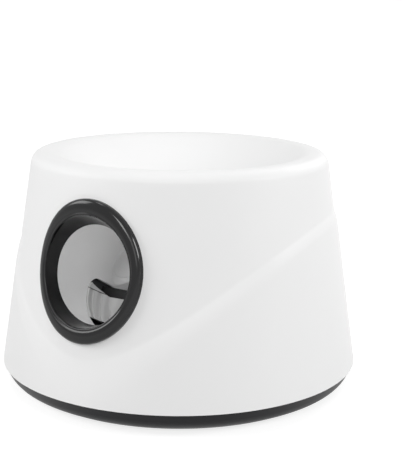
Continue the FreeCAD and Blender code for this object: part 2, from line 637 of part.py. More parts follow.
# ---------------------------------------------------------------- launch tube and feed chute
# The tube's lower half stops short, so the striker can sweep back below the feed hole.
TUBE_OUTER = "(tube_radius + tube_wall)"
tube_solids = [rod("y", TUBE_OUTER, "-30", "barrel_end", "0", "0")]
for lug in (("-plate_inside", "2 - tube_radius"), ("tube_radius - 2", "plate_inside")):
    tube_solids.append(box(*lug, "lug_offset - 18", "lug_offset + 6", "lug_lift - 17", "lug_lift + 3"))
window = prism("YZ_Plane", [("cradle_start", "-60"), ("barrel_end + 5", "-60"),
                            ("barrel_end + 5", "cradle_edge"), ("cradle_start", "cradle_edge")],
               "-plate_inside", "plate_inside")
soften(window, "cradle_corner", lambda edge, middle: middle.z > 0 and middle.y < number("cradle_start") + 1
       and edge.Length > number("plate_inside"))
tube = cut(fuse(*tube_solids), rod("y", "tube_radius", "-40", "barrel_end - tube_wall", "0", "0"),
           rod("z", "throat_radius", "0", "60", "0", "feed_offset"), window,
           rod("x", "screw_radius + running_gap", "-plate_inside - 1", "-plate_inside + 3",
               "lug_offset", "lug_lift"),
           rod("x", "screw_radius + running_gap", "plate_inside - 3", "plate_inside + 1",
               "lug_offset", "lug_lift"))
mouth_block = in_exit(box("-60", "60", "-80", "80", "-%s - slide_gap" % MOUTH_DEPTH, "60"))
node("launch_barrel", cut(in_launch(tube), mouth_block))

CHUTE_TOP = NECK_FOOT + " - slide_gap"
chute = cut(rod("z", "throat_radius + tube_wall", "0", "140", "0", "feed_offset"),
            rod("z", "throat_radius", "-1", "141", "0", "feed_offset"),
            rod("y", TUBE_OUTER + " + 0.2", "-20", "200", "0", "0"))
sensor_holes = []
sensors = []
for side in (-1, 1):
    start = "throat_radius" if side > 0 else "-throat_radius - 3.7"
    flat = start + (" + 2.7" if side > 0 else "")
    sensors.append(fuse(rod("x", "2.5", start, start + " + 3.7", "feed_offset", "45"),
                        box(flat, flat + " + 1", "feed_offset - 4", "feed_offset + 4", "41", "49")))
    sensor_holes.append(rod("x", "2.5 + running_gap", start + " - 5", start + " + 9", "feed_offset", "45"))
chute_lid = box("-60", "60", "-120", "120", CHUTE_TOP, "300")
node("feed_chute", cut(in_launch(cut(chute, *sensor_holes)), chute_lid))
node("ball_sensors", group(*sensors), in_launch)

# ---------------------------------------------------------------- striker and carriage
# The head is a deep cup for the lower half of the ball, ribbed below its middle, with edges that
# fall towards the back and a slot that clears the release gear.
REST = "striker_front"
BACK = "(striker_front + striker_depth)"
PLATE_BACK = "(striker_front + striker_depth + front_plate)"
side_view = prism("YZ_Plane", [(REST, "-striker_foot"), (BACK, "-striker_foot"), (BACK, "lip_rear"),
                               (REST + " + lip_chamfer", "lip_front"),
                               (REST, "lip_front - 2.5 * lip_chamfer")],
                  "-striker_radius - 1", "striker_radius + 1")
head = fuse(common(rod("y", "striker_radius", REST, BACK, "0", "0"), side_view),
            box("-bridge_half_width", "bridge_half_width", REST + " + cup_depth", BACK, "lip_rear - 3",
                "deck_low"))


def ball_hollow(grown):
    """A sphere about the middle of the head's front, flat at the back of the hollow."""
    sphere = doc.addObject("Part::Sphere", "Hollow")
    sphere.setExpression("Radius", bound("cup_radius + " + grown))
    put(sphere, "0", REST, "0")
    return common(sphere, box("-2 * cup_radius", "2 * cup_radius", REST + " - 2 * cup_radius",
                              REST + " + cup_depth", "-2 * cup_radius", "2 * cup_radius"))


flutes = []
for place in range(-6, 6):
    flute = box("-pi / 720 * rib_turn * cup_radius", "pi / 720 * rib_turn * cup_radius", "1",
                "2 * cup_radius", "-2 * cup_radius", "-1")
    flutes.append(put(group(flute), "0", REST, "0", "(%d + 0.5) * rib_turn" % place, (0, 0, 1)))
notch = box("-gear_notch", "gear_notch", REST + " + cup_depth - 3", PLATE_BACK + " + 1", "-2 * striker_foot",
            "lip_rear + 0.2")
head_screws = []
head_holes = []
for x, w in (("29.2", "-7.8"), ("-29.2", "-7.8"), ("23.8", "-18.6"), ("-23.8", "-18.6")):
    head_screws.append(screw("y", PLATE_BACK, -1, x, w, "8"))
    head_holes.append(rod("y", "screw_radius + running_gap", PLATE_BACK + " - 8 - slide_gap",
                          PLATE_BACK + " + 1", x, w))
ribbing = common(ball_hollow("rib_depth"), fuse(*flutes))
node("striker_head", cut(head, ball_hollow("0"), ribbing, notch, *head_holes), in_launch)
node("head_screws", group(*head_screws), in_launch)

# The carriage: a plate behind the head, a deck, wings that run in the chassis slots, and the
# rack that draws it back.
DECK_TOP = "(deck_low + deck_thick)"
DECK_END = "(striker_front + striker_depth + deck_length)"
WING_REACH = "(plate_inside + plate_thick - slide_gap)"
RACK_PITCH = "(rack_module * pi)"
RACK_ROOT = "(1.25 * rack_module - 0.175)"
RACK_START = "gear_offset + 0.9 * %s" % RACK_PITCH
rack_corners = [(RACK_START, DECK_TOP), (RACK_START, RACK_ROOT)]
for tooth in range(-1, 12):
    centre = "gear_offset - %s * %s" % (tooth + 0.5, RACK_PITCH)
    half = "(%s / 4 - tooth_thinning / 2)" % RACK_PITCH
    for way in (1, -1):
        foot = "%s + %d * (%s + %s * tan(pressure_angle))" % (centre, way, half, RACK_ROOT)
        tip = "%s + %d * (%s - 0.9 * rack_module * tan(pressure_angle))" % (centre, way, half)
        rack_corners += [(foot, RACK_ROOT), (tip, "-0.9 * rack_module")][::way]
rack_end = "gear_offset - 11.9 * %s" % RACK_PITCH
rack_corners += [(rack_end, RACK_ROOT), (rack_end, DECK_TOP)]
rack = prism("YZ_Plane", rack_corners, "-rack_half_width", "rack_half_width")
carriage = [rack,
            common(rod("y", "striker_radius", BACK, PLATE_BACK, "0", "0"),
                   box("-striker_radius", "striker_radius", BACK, PLATE_BACK, "-striker_foot", DECK_TOP)),
            box("-deck_half_width", "deck_half_width", BACK, DECK_END, "deck_low", DECK_TOP)]
for start in (BACK + " + 4", DECK_END + " - wing_length"):
    carriage.append(box("-" + WING_REACH, WING_REACH, start, start + " + wing_length", "deck_low", DECK_TOP))
SPRING_LIFT = "(deck_low + deck_thick / 2)"
SPRING_BACK = "(striker_front + striker_depth + 8)"
SPRING_PIN = "(spring_side + spring_radius)"
for side in ("-" + SPRING_PIN, WING_REACH):
    carriage.append(rod("x", "pin_radius - 0.4", side, side + " + %s - %s" % (SPRING_PIN, WING_REACH),
                        SPRING_BACK, SPRING_LIFT))
node("striker_carriage", cut(fuse(*carriage), notch, *head_holes), in_launch)

# ---------------------------------------------------------------- chassis
RELEASE_Y = ("(gear_offset * cos(launch_angle) - mouth_forward"
             " - release_teeth * rack_module / 2 * sin(launch_angle))")
RELEASE_Z = ("(mouth_height - gear_offset * sin(launch_angle)"
             " - release_teeth * rack_module / 2 * cos(launch_angle))")
MIDDLE_Y = "(%s + (drive_teeth + pinion_teeth) * drive_module / 2 * cos(middle_turn))" % RELEASE_Y
MIDDLE_Z = "(%s + (drive_teeth + pinion_teeth) * drive_module / 2 * sin(middle_turn))" % RELEASE_Z
FAST_Y = "(%s + (middle_teeth + pinion_teeth) * middle_module / 2 * cos(fast_turn))" % MIDDLE_Y
FAST_Z = "(%s + (middle_teeth + pinion_teeth) * middle_module / 2 * sin(fast_turn))" % MIDDLE_Z
MOTOR_Y = "(%s + (fast_teeth + pinion_teeth) * fast_module / 2 * cos(motor_turn))" % FAST_Y
MOTOR_Z = "(%s + (fast_teeth + pinion_teeth) * fast_module / 2 * sin(motor_turn))" % FAST_Z
PLATE_OUTSIDE = "(plate_inside + plate_thick)"
PLATE_CORNERS = [("-78", FLOOR), ("62", FLOOR), ("62", "96"), ("-35", "112"), ("-100", "112"),
                 ("-104", "92"), ("-78", "60")]
SPACERS = [("-71", "20"), ("57", "11"), ("20", "96")]
POSTS = [("-25", "9.5"), ("42", "12"), ("56", "86"), ("22", "84"), ("-24", "46")]
FLANGES = [("-72", "-44", "-60"), ("18", "48", "34")]
SLOT_FRONT = BACK + " - 0.5"
SLOT_END = DECK_END + " + stroke + slide_gap"


def on_both_sides(make):
    """The same solid made for the left and the right side, given as -1 and 1."""
    return [make(-1), make(1)]


def side_rod(side, radius, start, end, across, up):
    """A rod along X between two distances from the middle, on one side."""
    if side > 0:
        return rod("x", radius, start, end, across, up)
    return rod("x", radius, "-(%s)" % end, "-(%s)" % start, across, up)


def side_box(side, x0, x1, y0, y1, z0, z1):
    """A block between two distances from the middle, on one side."""
    if side > 0:
        return box(x0, x1, y0, y1, z0, z1)
    return box("-(%s)" % x1, "-(%s)" % x0, y0, y1, z0, z1)


def chassis(side):
    """A side plate with its slot, its inward feet and the holes it carries things in."""
    ends = ("plate_inside", PLATE_OUTSIDE) if side > 0 else ("-" + PLATE_OUTSIDE, "-plate_inside")
    plate = prism("YZ_Plane", PLATE_CORNERS, *ends)
    feet = [side_box(side, "plate_inside - 10", PLATE_OUTSIDE, y0, y1, FLOOR, FLOOR + " + plate_thick")
            for y0, y1, screw_y in FLANGES]
    foot_holes = [rod("z", "screw_radius + running_gap", "0", "20",
                      "%d * (plate_inside - flange_inset)" % side, screw_y)
                  for y0, y1, screw_y in FLANGES]
    reach = ("plate_inside - 1", PLATE_OUTSIDE + " + 1")
    slot = in_launch(side_box(side, *reach, SLOT_FRONT, SLOT_END, "deck_low - slide_gap",
                              DECK_TOP + " + slide_gap"))
    round_holes = [side_rod(side, "screw_radius + running_gap", *reach, y, z) for y, z in SPACERS]
    round_holes.append(side_rod(side, "shaft_radius + bush_wall + running_gap", *reach, RELEASE_Y, RELEASE_Z))
    round_holes += [side_rod(side, "12", *reach, y, z) for y, z in (("2", "82"), ("-48", "30"))]
    launch_holes = [side_rod(side, "screw_radius + running_gap", *reach, "lug_offset", "lug_lift"),
                    side_rod(side, "pin_radius + running_gap", *reach, "spring_anchor", SPRING_LIFT)]
    if side > 0:
        round_holes.append(side_rod(side, "motor_radius + 0.5", *reach, MOTOR_Y, MOTOR_Z))
        round_holes += [side_rod(side, "screw_radius + running_gap", *reach, y, z) for y, z in POSTS]
    else:
        launch_holes.append(side_rod(side, "screw_radius + running_gap", *reach, "switch_offset",
                                     "switch_lift"))
    return cut(fuse(plate, *feet), slot, in_launch(group(*launch_holes)), *round_holes, *foot_holes)


node("chassis_left", chassis(-1))
node("chassis_right", chassis(1))
spacers = []
chassis_screws = []
for y, z in SPACERS:
    spacer_holes = on_both_sides(lambda side: side_rod(side, "screw_radius + running_gap", "plate_inside - 8",
                                                       "plate_inside + 1", y, z))
    spacers.append(cut(rod("x", "spacer_radius", "-plate_inside", "plate_inside", y, z), *spacer_holes))
    chassis_screws += [screw("x", PLATE_OUTSIDE, -1, y, z, "10"),
                       screw("x", "-" + PLATE_OUTSIDE, 1, y, z, "10")]
for side in (-1, 1):
    chassis_screws.append(in_launch(screw("x", "%d * %s" % (side, PLATE_OUTSIDE), -side,
                                          "lug_offset", "lug_lift", "5.5")))
    for y0, y1, screw_y in FLANGES:
        chassis_screws.append(screw("z", FLOOR + " + plate_thick", -1,
                                    "%d * (plate_inside - flange_inset)" % side, screw_y, "4.8"))
node("chassis_spacers", group(*spacers))
node("chassis_screws", group(*chassis_screws))

# Bushes for the release shaft, rubber stops at the front of the slots, and the draw springs.
BUSH_ENDS = [("-" + PLATE_OUTSIDE, "-plate_inside", "1"), ("plate_inside", PLATE_OUTSIDE, "-1"),
             ("gearbox_inside", "gearbox_inside + gearbox_plate", "1"),
             ("cover_inside", "cover_inside + gearbox_plate", "-1")]
bushes = []
for start, end, inward in BUSH_ENDS:
    lip = (end, end + " + 1") if inward == "1" else (start + " - 1", start)
    bushes.append(cut(fuse(rod("x", "shaft_radius + bush_wall", start, end, RELEASE_Y, RELEASE_Z),
                           rod("x", "shaft_radius + bush_wall + 1.5", *lip, RELEASE_Y, RELEASE_Z)),
                      rod("x", "shaft_radius + running_gap", start + " - 2", end + " + 2", RELEASE_Y,
                          RELEASE_Z)))
node("shaft_bushes", group(*bushes))
bumpers = on_both_sides(lambda side: side_box(side, "plate_inside", PLATE_OUTSIDE, SLOT_FRONT,
                                              BACK + " + 4 - slide_gap", "deck_low - slide_gap",
                                              DECK_TOP + " + slide_gap"))
node("stop_bumpers", group(*bumpers), in_launch)
pins = on_both_sides(lambda side: side_rod(side, "pin_radius", "plate_inside + slide_gap", SPRING_PIN,
                                           "spring_anchor", SPRING_LIFT))
node("spring_pins", group(*pins), in_launch)


def draw_spring(side):
    """A close-wound extension spring, drawn as its envelope, with an eye round each pin."""
    coil = cut(rod("y", "spring_radius", "spring_anchor + 5", SPRING_BACK + " - 5", "%d * spring_side" % side,
                   SPRING_LIFT),
               rod("y", "spring_radius - spring_wire", "spring_anchor + 4", SPRING_BACK + " - 4",
                   "%d * spring_side" % side, SPRING_LIFT))
    eyes = []
    for middle, radius, inner, outer in (("spring_anchor", "pin_radius", "0", "6"),
                                         (SPRING_BACK, "(pin_radius - 0.4)", "-6", "0")):
        arm = box("%d * spring_side - spring_wire / 2" % side, "%d * spring_side + spring_wire / 2" % side,
                  "%s + %s" % (middle, inner), "%s + %s" % (middle, outer),
                  SPRING_LIFT + " - spring_radius + 0.1", SPRING_LIFT + " + spring_radius - 0.1")
        eye = rod("x", radius + " + spring_wire", "%d * spring_side - spring_wire / 2" % side,
                  "%d * spring_side + spring_wire / 2" % side, middle, SPRING_LIFT)
        eyes.append(cut(fuse(arm, eye), rod("x", radius + " + running_gap", "%d * spring_side - 3" % side,
                                            "%d * spring_side + 3" % side, middle, SPRING_LIFT)))
    return fuse(coil, *eyes)


node("draw_springs", group(*on_both_sides(draw_spring)), in_launch)

# ---------------------------------------------------------------- release gear, gear train and motor
shaft = rod("x", "shaft_radius", "-(%s + 1.5)" % PLATE_OUTSIDE, "cover_inside + 1.5", RELEASE_Y, RELEASE_Z)
sleeve_tube = cut(rod("x", "shaft_radius + bush_wall", "slide_gap + 1 - plate_inside",
                      "plate_inside - 1 - slide_gap", RELEASE_Y, RELEASE_Z),
                  rod("x", "shaft_radius", "-plate_inside", "plate_inside", RELEASE_Y, RELEASE_Z))
partial = gear("rack_module", "release_teeth", "90 - launch_angle", "0.5 - rack_half_width",
               "rack_half_width - 0.5", RELEASE_Y, RELEASE_Z, "release_teeth_left")
node("release_gear", cut(fuse(partial, sleeve_tube),
                         rod("x", "shaft_radius", "-60", "60", RELEASE_Y, RELEASE_Z)))
node("release_shaft", shaft)
DRIVE_START = "(gearbox_inside + gearbox_plate + 1.5)"
DRIVE_END = "(%s + 6)" % DRIVE_START
node("drive_gear", cut(fuse(gear("drive_module", "drive_teeth", "middle_turn", DRIVE_START, DRIVE_END,
                                 RELEASE_Y, RELEASE_Z),
                            rod("x", "shaft_radius + 1", DRIVE_END, "cover_inside - 1 - slide_gap",
                                RELEASE_Y, RELEASE_Z)),
                       rod("x", "shaft_radius", "40", "80", RELEASE_Y, RELEASE_Z)))
AXLE_BORE = "axle_radius + running_gap"
NEXT_START = "(%s + 1)" % DRIVE_END
NEXT_END = "(%s + 5)" % NEXT_START
node("middle_gear", cut(fuse(gear("drive_module", "pinion_teeth", "middle_turn + 180 + 180 / pinion_teeth",
                                  DRIVE_START, DRIVE_END, MIDDLE_Y, MIDDLE_Z),
                             gear("middle_module", "middle_teeth", "fast_turn", NEXT_START, NEXT_END,
                                  MIDDLE_Y, MIDDLE_Z),
                             rod("x", "axle_radius + 2", "gearbox_inside + gearbox_plate + slide_gap",
                                 "cover_inside - slide_gap", MIDDLE_Y, MIDDLE_Z)),
                        rod("x", AXLE_BORE, "40", "80", MIDDLE_Y, MIDDLE_Z)))
FAST_END = "(%s + 5)" % DRIVE_START
node("fast_gear", cut(fuse(gear("middle_module", "pinion_teeth", "fast_turn + 180 + 180 / pinion_teeth",
                                NEXT_START, NEXT_END, FAST_Y, FAST_Z),
                           gear("fast_module", "fast_teeth", "motor_turn", DRIVE_START, FAST_END,
                                FAST_Y, FAST_Z),
                           rod("x", "axle_radius + 2", "gearbox_inside + gearbox_plate + slide_gap",
                               "cover_inside - slide_gap", FAST_Y, FAST_Z)),
                      rod("x", AXLE_BORE, "40", "80", FAST_Y, FAST_Z)))
node("motor_pinion", cut(gear("fast_module", "pinion_teeth", "motor_turn + 180 + 180 / pinion_teeth",
                              DRIVE_START, FAST_END, MOTOR_Y, MOTOR_Z),
                         rod("x", "rotor_radius", "40", "80", MOTOR_Y, MOTOR_Z)))
MOTOR_END = "(gearbox_inside - motor_length)"
node("motor_shaft", rod("x", "rotor_radius", MOTOR_END + " - 2", FAST_END + " + 1", MOTOR_Y, MOTOR_Z))
can = fuse(rod("x", "motor_radius", MOTOR_END, "gearbox_inside", MOTOR_Y, MOTOR_Z),
           rod("x", "rotor_radius + 3.5", MOTOR_END + " - 1.5", "gearbox_inside + 2", MOTOR_Y, MOTOR_Z))
tabs = [box(MOTOR_END + " - 5", MOTOR_END + " + 1", MOTOR_Y + " - 1", MOTOR_Y + " + 1",
            MOTOR_Z + " + %d * 9 - 0.4" % way, MOTOR_Z + " + %d * 9 + 0.4" % way) for way in (-1, 1)]
node("motor_can", cut(fuse(can, *tabs), rod("x", "rotor_radius + running_gap", "0", "60", MOTOR_Y, MOTOR_Z)))

# The gearbox: a plate on posts outside the right side plate, and a cover over the gears.
BOX_CORNERS = [("-30", "5"), ("47", "5"), ("62", "40"), ("62", "92"), ("18", "92"), ("-30", "52")]
plate_posts = [rod("x", "spacer_radius", PLATE_OUTSIDE, "gearbox_inside", y, z) for y, z in POSTS]
box_holes = [rod("x", "screw_radius + running_gap", "30", "80", y, z) for y, z in POSTS]
bush_hole = rod("x", "shaft_radius + bush_wall + running_gap", "40", "80", RELEASE_Y, RELEASE_Z)
axle_holes = [rod("x", "axle_radius + running_gap", "40", "80", y, z)
              for y, z in ((MIDDLE_Y, MIDDLE_Z), (FAST_Y, FAST_Z))]
motor_hole = rod("x", "rotor_radius + 3.5 + running_gap", "40", "60", MOTOR_Y, MOTOR_Z)
gear_plate = prism("YZ_Plane", BOX_CORNERS, "gearbox_inside", "gearbox_inside + gearbox_plate")
node("gearbox_plate", cut(fuse(gear_plate, *plate_posts), bush_hole, motor_hole, *axle_holes, *box_holes))
gear_cover = prism("YZ_Plane", BOX_CORNERS, "cover_inside", "cover_inside + gearbox_plate")
cover_posts = [rod("x", "spacer_radius", "gearbox_inside + gearbox_plate", "cover_inside", y, z)
               for y, z in POSTS]
node("gearbox_cover", cut(fuse(gear_cover, *cover_posts), bush_hole, *axle_holes, *box_holes))
node("gearbox_screws", group(*[screw("x", "cover_inside + gearbox_plate", -1, y, z,
                                     "cover_inside + gearbox_plate - plate_inside - 0.5") for y, z in POSTS]))
node("gear_axles", group(*[rod("x", "axle_radius", "gearbox_inside", "cover_inside + gearbox_plate", y, z)
                           for y, z in ((MIDDLE_Y, MIDDLE_Z), (FAST_Y, FAST_Z))]))

# The home switch stands behind the left slot, where a wing presses it when the spring is drawn.
SWITCH_START = "(%s + stroke + 3)" % DECK_END
switch_body = box("-plate_inside", "6 - plate_inside", SWITCH_START, SWITCH_START + " + 14", "-2", "9")
switch_pin = rod("y", "1", SWITCH_START + " - 2.6", SWITCH_START, "3.5 - plate_inside", SPRING_LIFT)
node("home_switch", cut(fuse(switch_body, switch_pin),
                        rod("x", "screw_radius + running_gap", "-plate_inside - 1", "3 - plate_inside",
                            "switch_offset", "switch_lift")),
     in_launch)
node("switch_screw", screw("x", "-" + PLATE_OUTSIDE, 1, "switch_offset", "switch_lift", "5.5"), in_launch)

# ---------------------------------------------------------------- battery bay
CELL_Z = "(foot_stand + door_thick + cell_radius + 0.6)"
cells = []
contacts = []
for column in (-1, 1):
    x = "%d * (cell_radius + 0.5) - bay_middle" % column
    for end in (-1, 1):
        start = "0.5" if end > 0 else "-0.5 - cell_length"
        tip = "0.5 + cell_length - 1.5" if column > 0 else "0.5 + cell_length"
        cells.append(rod("y", "cell_radius", start, start + " + cell_length - 1.5", x, CELL_Z))
        cells.append(rod("y", "3.5", start + " + cell_length - 1.5", start + " + cell_length", x, CELL_Z))
        plate = ("bay_half_length - 0.8", "bay_half_length") if end > 0 else ("-bay_half_length",
                                                                             "0.8 - bay_half_length")
        spring = (("cell_length + 0.8", "bay_half_length - 0.8") if end > 0
                  else ("0.8 - bay_half_length", "-(cell_length + 0.8)"))
        contacts.append(fuse(box(x + " - 7", x + " + 7", *plate, CELL_Z + " - 7", CELL_Z + " + 7"),
                             rod("y", "3.5", *spring, x, CELL_Z)))
node("battery_cells", group(*[fuse(*cells[pair:pair + 2]) for pair in range(0, 8, 2)]))
node("battery_contacts", group(*contacts))
door = fuse(box(DOOR_HINGE_X, BAY_RIGHT + " - door_gap", "door_gap - bay_half_length",
                "bay_half_length - door_gap", "foot_stand", "foot_stand + door_thick"),
            rod("y", "door_thick / 2", "door_gap - bay_half_length", "bay_half_length - door_gap",
                DOOR_HINGE_X, DOOR_HINGE_Z),
            rod("y", "0.45 * door_thick", "-(bay_half_length + 1.9)", "bay_half_length + 1.9",
                DOOR_HINGE_X, DOOR_HINGE_Z))
node("battery_door", door)

# ---------------------------------------------------------------- electronics
BOARD = ("(gearbox_inside + 1)", "(gearbox_inside + 1 + board_width)", "-board_front", "-board_rear")
BOARD_Z = "(%s + 6)" % FLOOR
board_corners = [(x, y) for y in ("board_inset - board_front", "-board_rear - board_inset")
                 for x in (BOARD[0] + " + board_inset", BOARD[1] + " - board_inset")]
board_holes = [rod("z", "screw_radius + running_gap", FLOOR, "30", x, y) for x, y in board_corners]
node("main_board", cut(box(*BOARD, BOARD_Z, BOARD_Z + " + board_thick"), *board_holes))
BOARD_TOP = "(%s + board_thick)" % BOARD_Z
node("board_parts", group(
    box("gearbox_inside + 14", "gearbox_inside + 26", "-56", "-44", BOARD_TOP, BOARD_TOP + " + 2"),
    rod("z", "4", BOARD_TOP, BOARD_TOP + " + 9", "gearbox_inside + 36", "-54"),
    rod("z", "4", BOARD_TOP, BOARD_TOP + " + 9", "gearbox_inside + 36", "-43"),
    box("gearbox_inside + 12", "gearbox_inside + 34", "-66.5", "-61.5", BOARD_TOP, BOARD_TOP + " + 6")))
node("board_screws", group(*[screw("z", BOARD_TOP, -1, x, y, "6") for x, y in board_corners]))
node("speaker", fuse(rod("z", "speaker_radius", FLOOR, FLOOR + " + 2.4", "0", "speaker_y"),
                     rod("z", "speaker_radius * 0.72", FLOOR + " + 2.4", FLOOR + " + 5", "0", "speaker_y"),
                     rod("z", "speaker_radius / 2", FLOOR + " + 5", FLOOR + " + 10", "0", "speaker_y")))

# The rear panel follows the wall; its two buttons are pushed along its normal.
panel_plate = common(in_panel(rounded_bar("panel_half_width", "panel_half_height", "panel_corner",
                                          "-20", "10")), skin("-panel_proud"))
panel_plug = common(in_panel(rounded_bar("panel_half_width - panel_flange",
                                         "panel_half_height - panel_flange", "panel_corner",
                                         "-20", "10")), skin("-panel_proud / 2"))
board_posts = [rod("z", "2.2", "-switch_board_depth", "-4.5", "%d * post_x" % side, "%d * post_y" % level)
               for side in (-1, 1) for level in (-1, 1)]
panel_screws = [screw("z", "-switch_board_depth - board_thick", 1, "%d * post_x" % side,
                      "%d * post_y" % level, "6")
                for side in (-1, 1) for level in (-1, 1)]
panel_holes = [rod("z", "screw_radius + running_gap", "-switch_board_depth - 3", "6.5 - switch_board_depth",
                   "%d * post_x" % side, "%d * post_y" % level) for side in (-1, 1) for level in (-1, 1)]
button_holes = [rod("z", "button_radius + slide_gap", "-20", "10", "%d * button_spread" % side, "0")
                for side in (-1, 1)]
lamp_places = ["-lamp_pitch", "0", "lamp_pitch"]
lamp_holes = [rod("z", "lamp_radius + running_gap", "-20", "10", x, "0") for x in lamp_places]
panel_shell = fuse(cut(panel_plate, skin("0")), cut(panel_plug, skin("crease_step + wall")))
node("control_panel", cut(fuse(panel_shell, in_panel(group(*board_posts))),
                          in_panel(group(*button_holes, *lamp_holes, *panel_holes))))
BUTTON_FOOT = "(button_travel - switch_board_depth + 3.2)"
for name, side in (("distance_button", -1), ("power_button", 1)):
    x = "%d * button_spread" % side
    node(name, fuse(rod("z", "button_radius", BUTTON_FOOT + " + 1.2", "2", x, "0"),
                    rod("z", "button_radius + 1.2", BUTTON_FOOT, BUTTON_FOOT + " + 1.2", x, "0")), in_panel)
node("indicator_lenses", group(*[soften(lens(x), "0.8", lambda edge, middle: middle.z > 1)
                                 for x in lamp_places]), in_panel)
switch_board = cut(box("-34", "34", "-14", "14", "-switch_board_depth - board_thick", "-switch_board_depth"),
                   *panel_holes)
node("switch_board", switch_board, in_panel)
node("panel_screws", group(*panel_screws), in_panel)
node("tact_switches", group(*[fuse(box(x + " - 3", x + " + 3", "-3", "3", "-switch_board_depth",
                                       "2 - switch_board_depth"),
                                   rod("z", "1.5", "2 - switch_board_depth", "3 - switch_board_depth",
                                       x, "0"))
                              for x in ("-button_spread", "button_spread")]), in_panel)

INLET_BACK = "(%s - 14)" % INLET_FACE
inlet = fuse(rod("y", "inlet_radius", INLET_BACK, INLET_FACE, "0", "inlet_height"),
             rod("y", "inlet_radius + 2", INLET_FACE, INLET_FACE + " + 1", "0", "inlet_height"),
             box("-5", "5", INLET_BACK + " - 4", INLET_BACK + " + 3", "inlet_height - 5", "inlet_height + 5"))
node("power_inlet", fuse(cut(inlet, rod("y", "inlet_bore", INLET_FACE + " - 10", INLET_FACE + " + 2", "0",
                                        "inlet_height")),
                         rod("y", "inlet_pin", INLET_FACE + " - 11", INLET_FACE + " - 1", "0",
                             "inlet_height")))

# The base tray last, as it carries the posts, rings and screw holes of what stands in it.
standoffs = [rod("z", "3", FLOOR, BOARD_Z, x, y) for x, y in board_corners]
standoff_holes = [rod("z", "screw_radius + running_gap", FLOOR + " + 0.5", "30", x, y)
                  for x, y in board_corners]
chassis_holes = [rod("z", "screw_radius + running_gap", "foot_stand + 0.6", "30",
                     "%d * (plate_inside - flange_inset)" % side, screw_y)
                 for side in (-1, 1) for y0, y1, screw_y in FLANGES]
speaker_ring = cut(rod("z", "speaker_radius + 2", FLOOR, FLOOR + " + 3.5", "0", "speaker_y"),
                   rod("z", "speaker_radius + slide_gap", FLOOR + " - 1", FLOOR + " + 4", "0", "speaker_y"))
node("base_tray", cut(fuse(base_dish, bay_block, speaker_ring, *pillars, *standoffs), bay_void, *hinge_holes,
                      *pillar_holes, *foot_pockets, *sound_holes, *standoff_holes, *chassis_holes))

# ---------------------------------------------------------------- checks and export
doc.recompute()
for thing in doc.Objects:
    if "Invalid" in thing.State or "Error" in thing.State:
        raise RuntimeError("%s didn't build" % thing.Label)
for thing in NODES:
    if thing.Shape.isNull() or not thing.Shape.isValid():
        raise RuntimeError("%s isn't a valid solid" % thing.Label)
os.makedirs("parts", exist_ok=True)
for thing in NODES:
    thing.Shape.exportStep("parts/%s.step" % thing.Label)
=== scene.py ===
"""Looks for an automatic ball launcher for dogs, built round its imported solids."""
import math

import bmesh
import bpy
import numpy as np
from mathutils import Matrix


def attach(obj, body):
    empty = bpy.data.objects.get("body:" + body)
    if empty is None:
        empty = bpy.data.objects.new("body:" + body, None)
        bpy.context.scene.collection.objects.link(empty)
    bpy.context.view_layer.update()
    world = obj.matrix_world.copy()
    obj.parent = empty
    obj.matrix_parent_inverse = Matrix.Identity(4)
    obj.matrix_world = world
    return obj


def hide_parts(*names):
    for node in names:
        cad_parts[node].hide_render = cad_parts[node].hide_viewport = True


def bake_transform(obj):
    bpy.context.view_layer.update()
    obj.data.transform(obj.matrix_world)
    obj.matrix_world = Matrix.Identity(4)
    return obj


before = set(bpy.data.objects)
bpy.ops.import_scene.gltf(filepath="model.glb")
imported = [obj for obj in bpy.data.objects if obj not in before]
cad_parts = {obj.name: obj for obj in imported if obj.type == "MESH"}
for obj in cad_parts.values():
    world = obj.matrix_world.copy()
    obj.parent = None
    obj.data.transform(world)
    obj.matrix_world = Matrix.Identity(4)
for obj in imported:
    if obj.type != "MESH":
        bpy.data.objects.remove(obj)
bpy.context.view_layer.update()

# The camera is turned 30.5 degrees round from the way the exit faces, and looks a little down.
# Its distance and lens give the launcher its drawn size in a frame of 404 by 471.
CAMERA_PLACE = (0.42508, -0.68838, 0.2924)
CAMERA_TURN = math.radians(30.5)
DOWNWARD = 0.2227
ROLL = 0.0106
FOCAL_PIXELS = 1090.05
FRAME_HEIGHT = 471
SENSOR_WIDTH = 36.0
ahead = np.array([-math.sin(CAMERA_TURN) * math.cos(DOWNWARD),
                  math.cos(CAMERA_TURN) * math.cos(DOWNWARD), -math.sin(DOWNWARD)])
level = np.array([math.cos(CAMERA_TURN), math.sin(CAMERA_TURN), 0.0])
upward = np.cross(level, ahead)
rightward = math.cos(ROLL) * level + math.sin(ROLL) * upward
lifted = -math.sin(ROLL) * level + math.cos(ROLL) * upward
lens = bpy.data.cameras.new("view_lens")
lens.sensor_width = SENSOR_WIDTH
lens.sensor_fit = "AUTO"
lens.lens = FOCAL_PIXELS / FRAME_HEIGHT * SENSOR_WIDTH
camera = bpy.data.objects.new("view_camera", lens)
turn = np.column_stack([rightward, lifted, -ahead])
camera.matrix_world = Matrix.Translation(CAMERA_PLACE) @ Matrix(turn.tolist()).to_4x4()
bpy.context.scene.collection.objects.link(camera)
bpy.context.scene.camera = camera

# The upper shell is one injection-moulded cover of white ABS: a leaning wall and a rounded rim.
# A soft crease sweeps down its flanks and under the exit; holes are cut for ring, panel and inlet.
MM = 0.001
METRE = 1000.0
SEAM_RADIUS = 134.62
SEAM_HEIGHT = 17.5
SEAM_LAND = 0.4
CREST = 175.26
CREST_RADIUS = 111.0
LEAN_SLOPE = (SEAM_RADIUS - CREST_RADIUS) / (CREST - SEAM_HEIGHT)
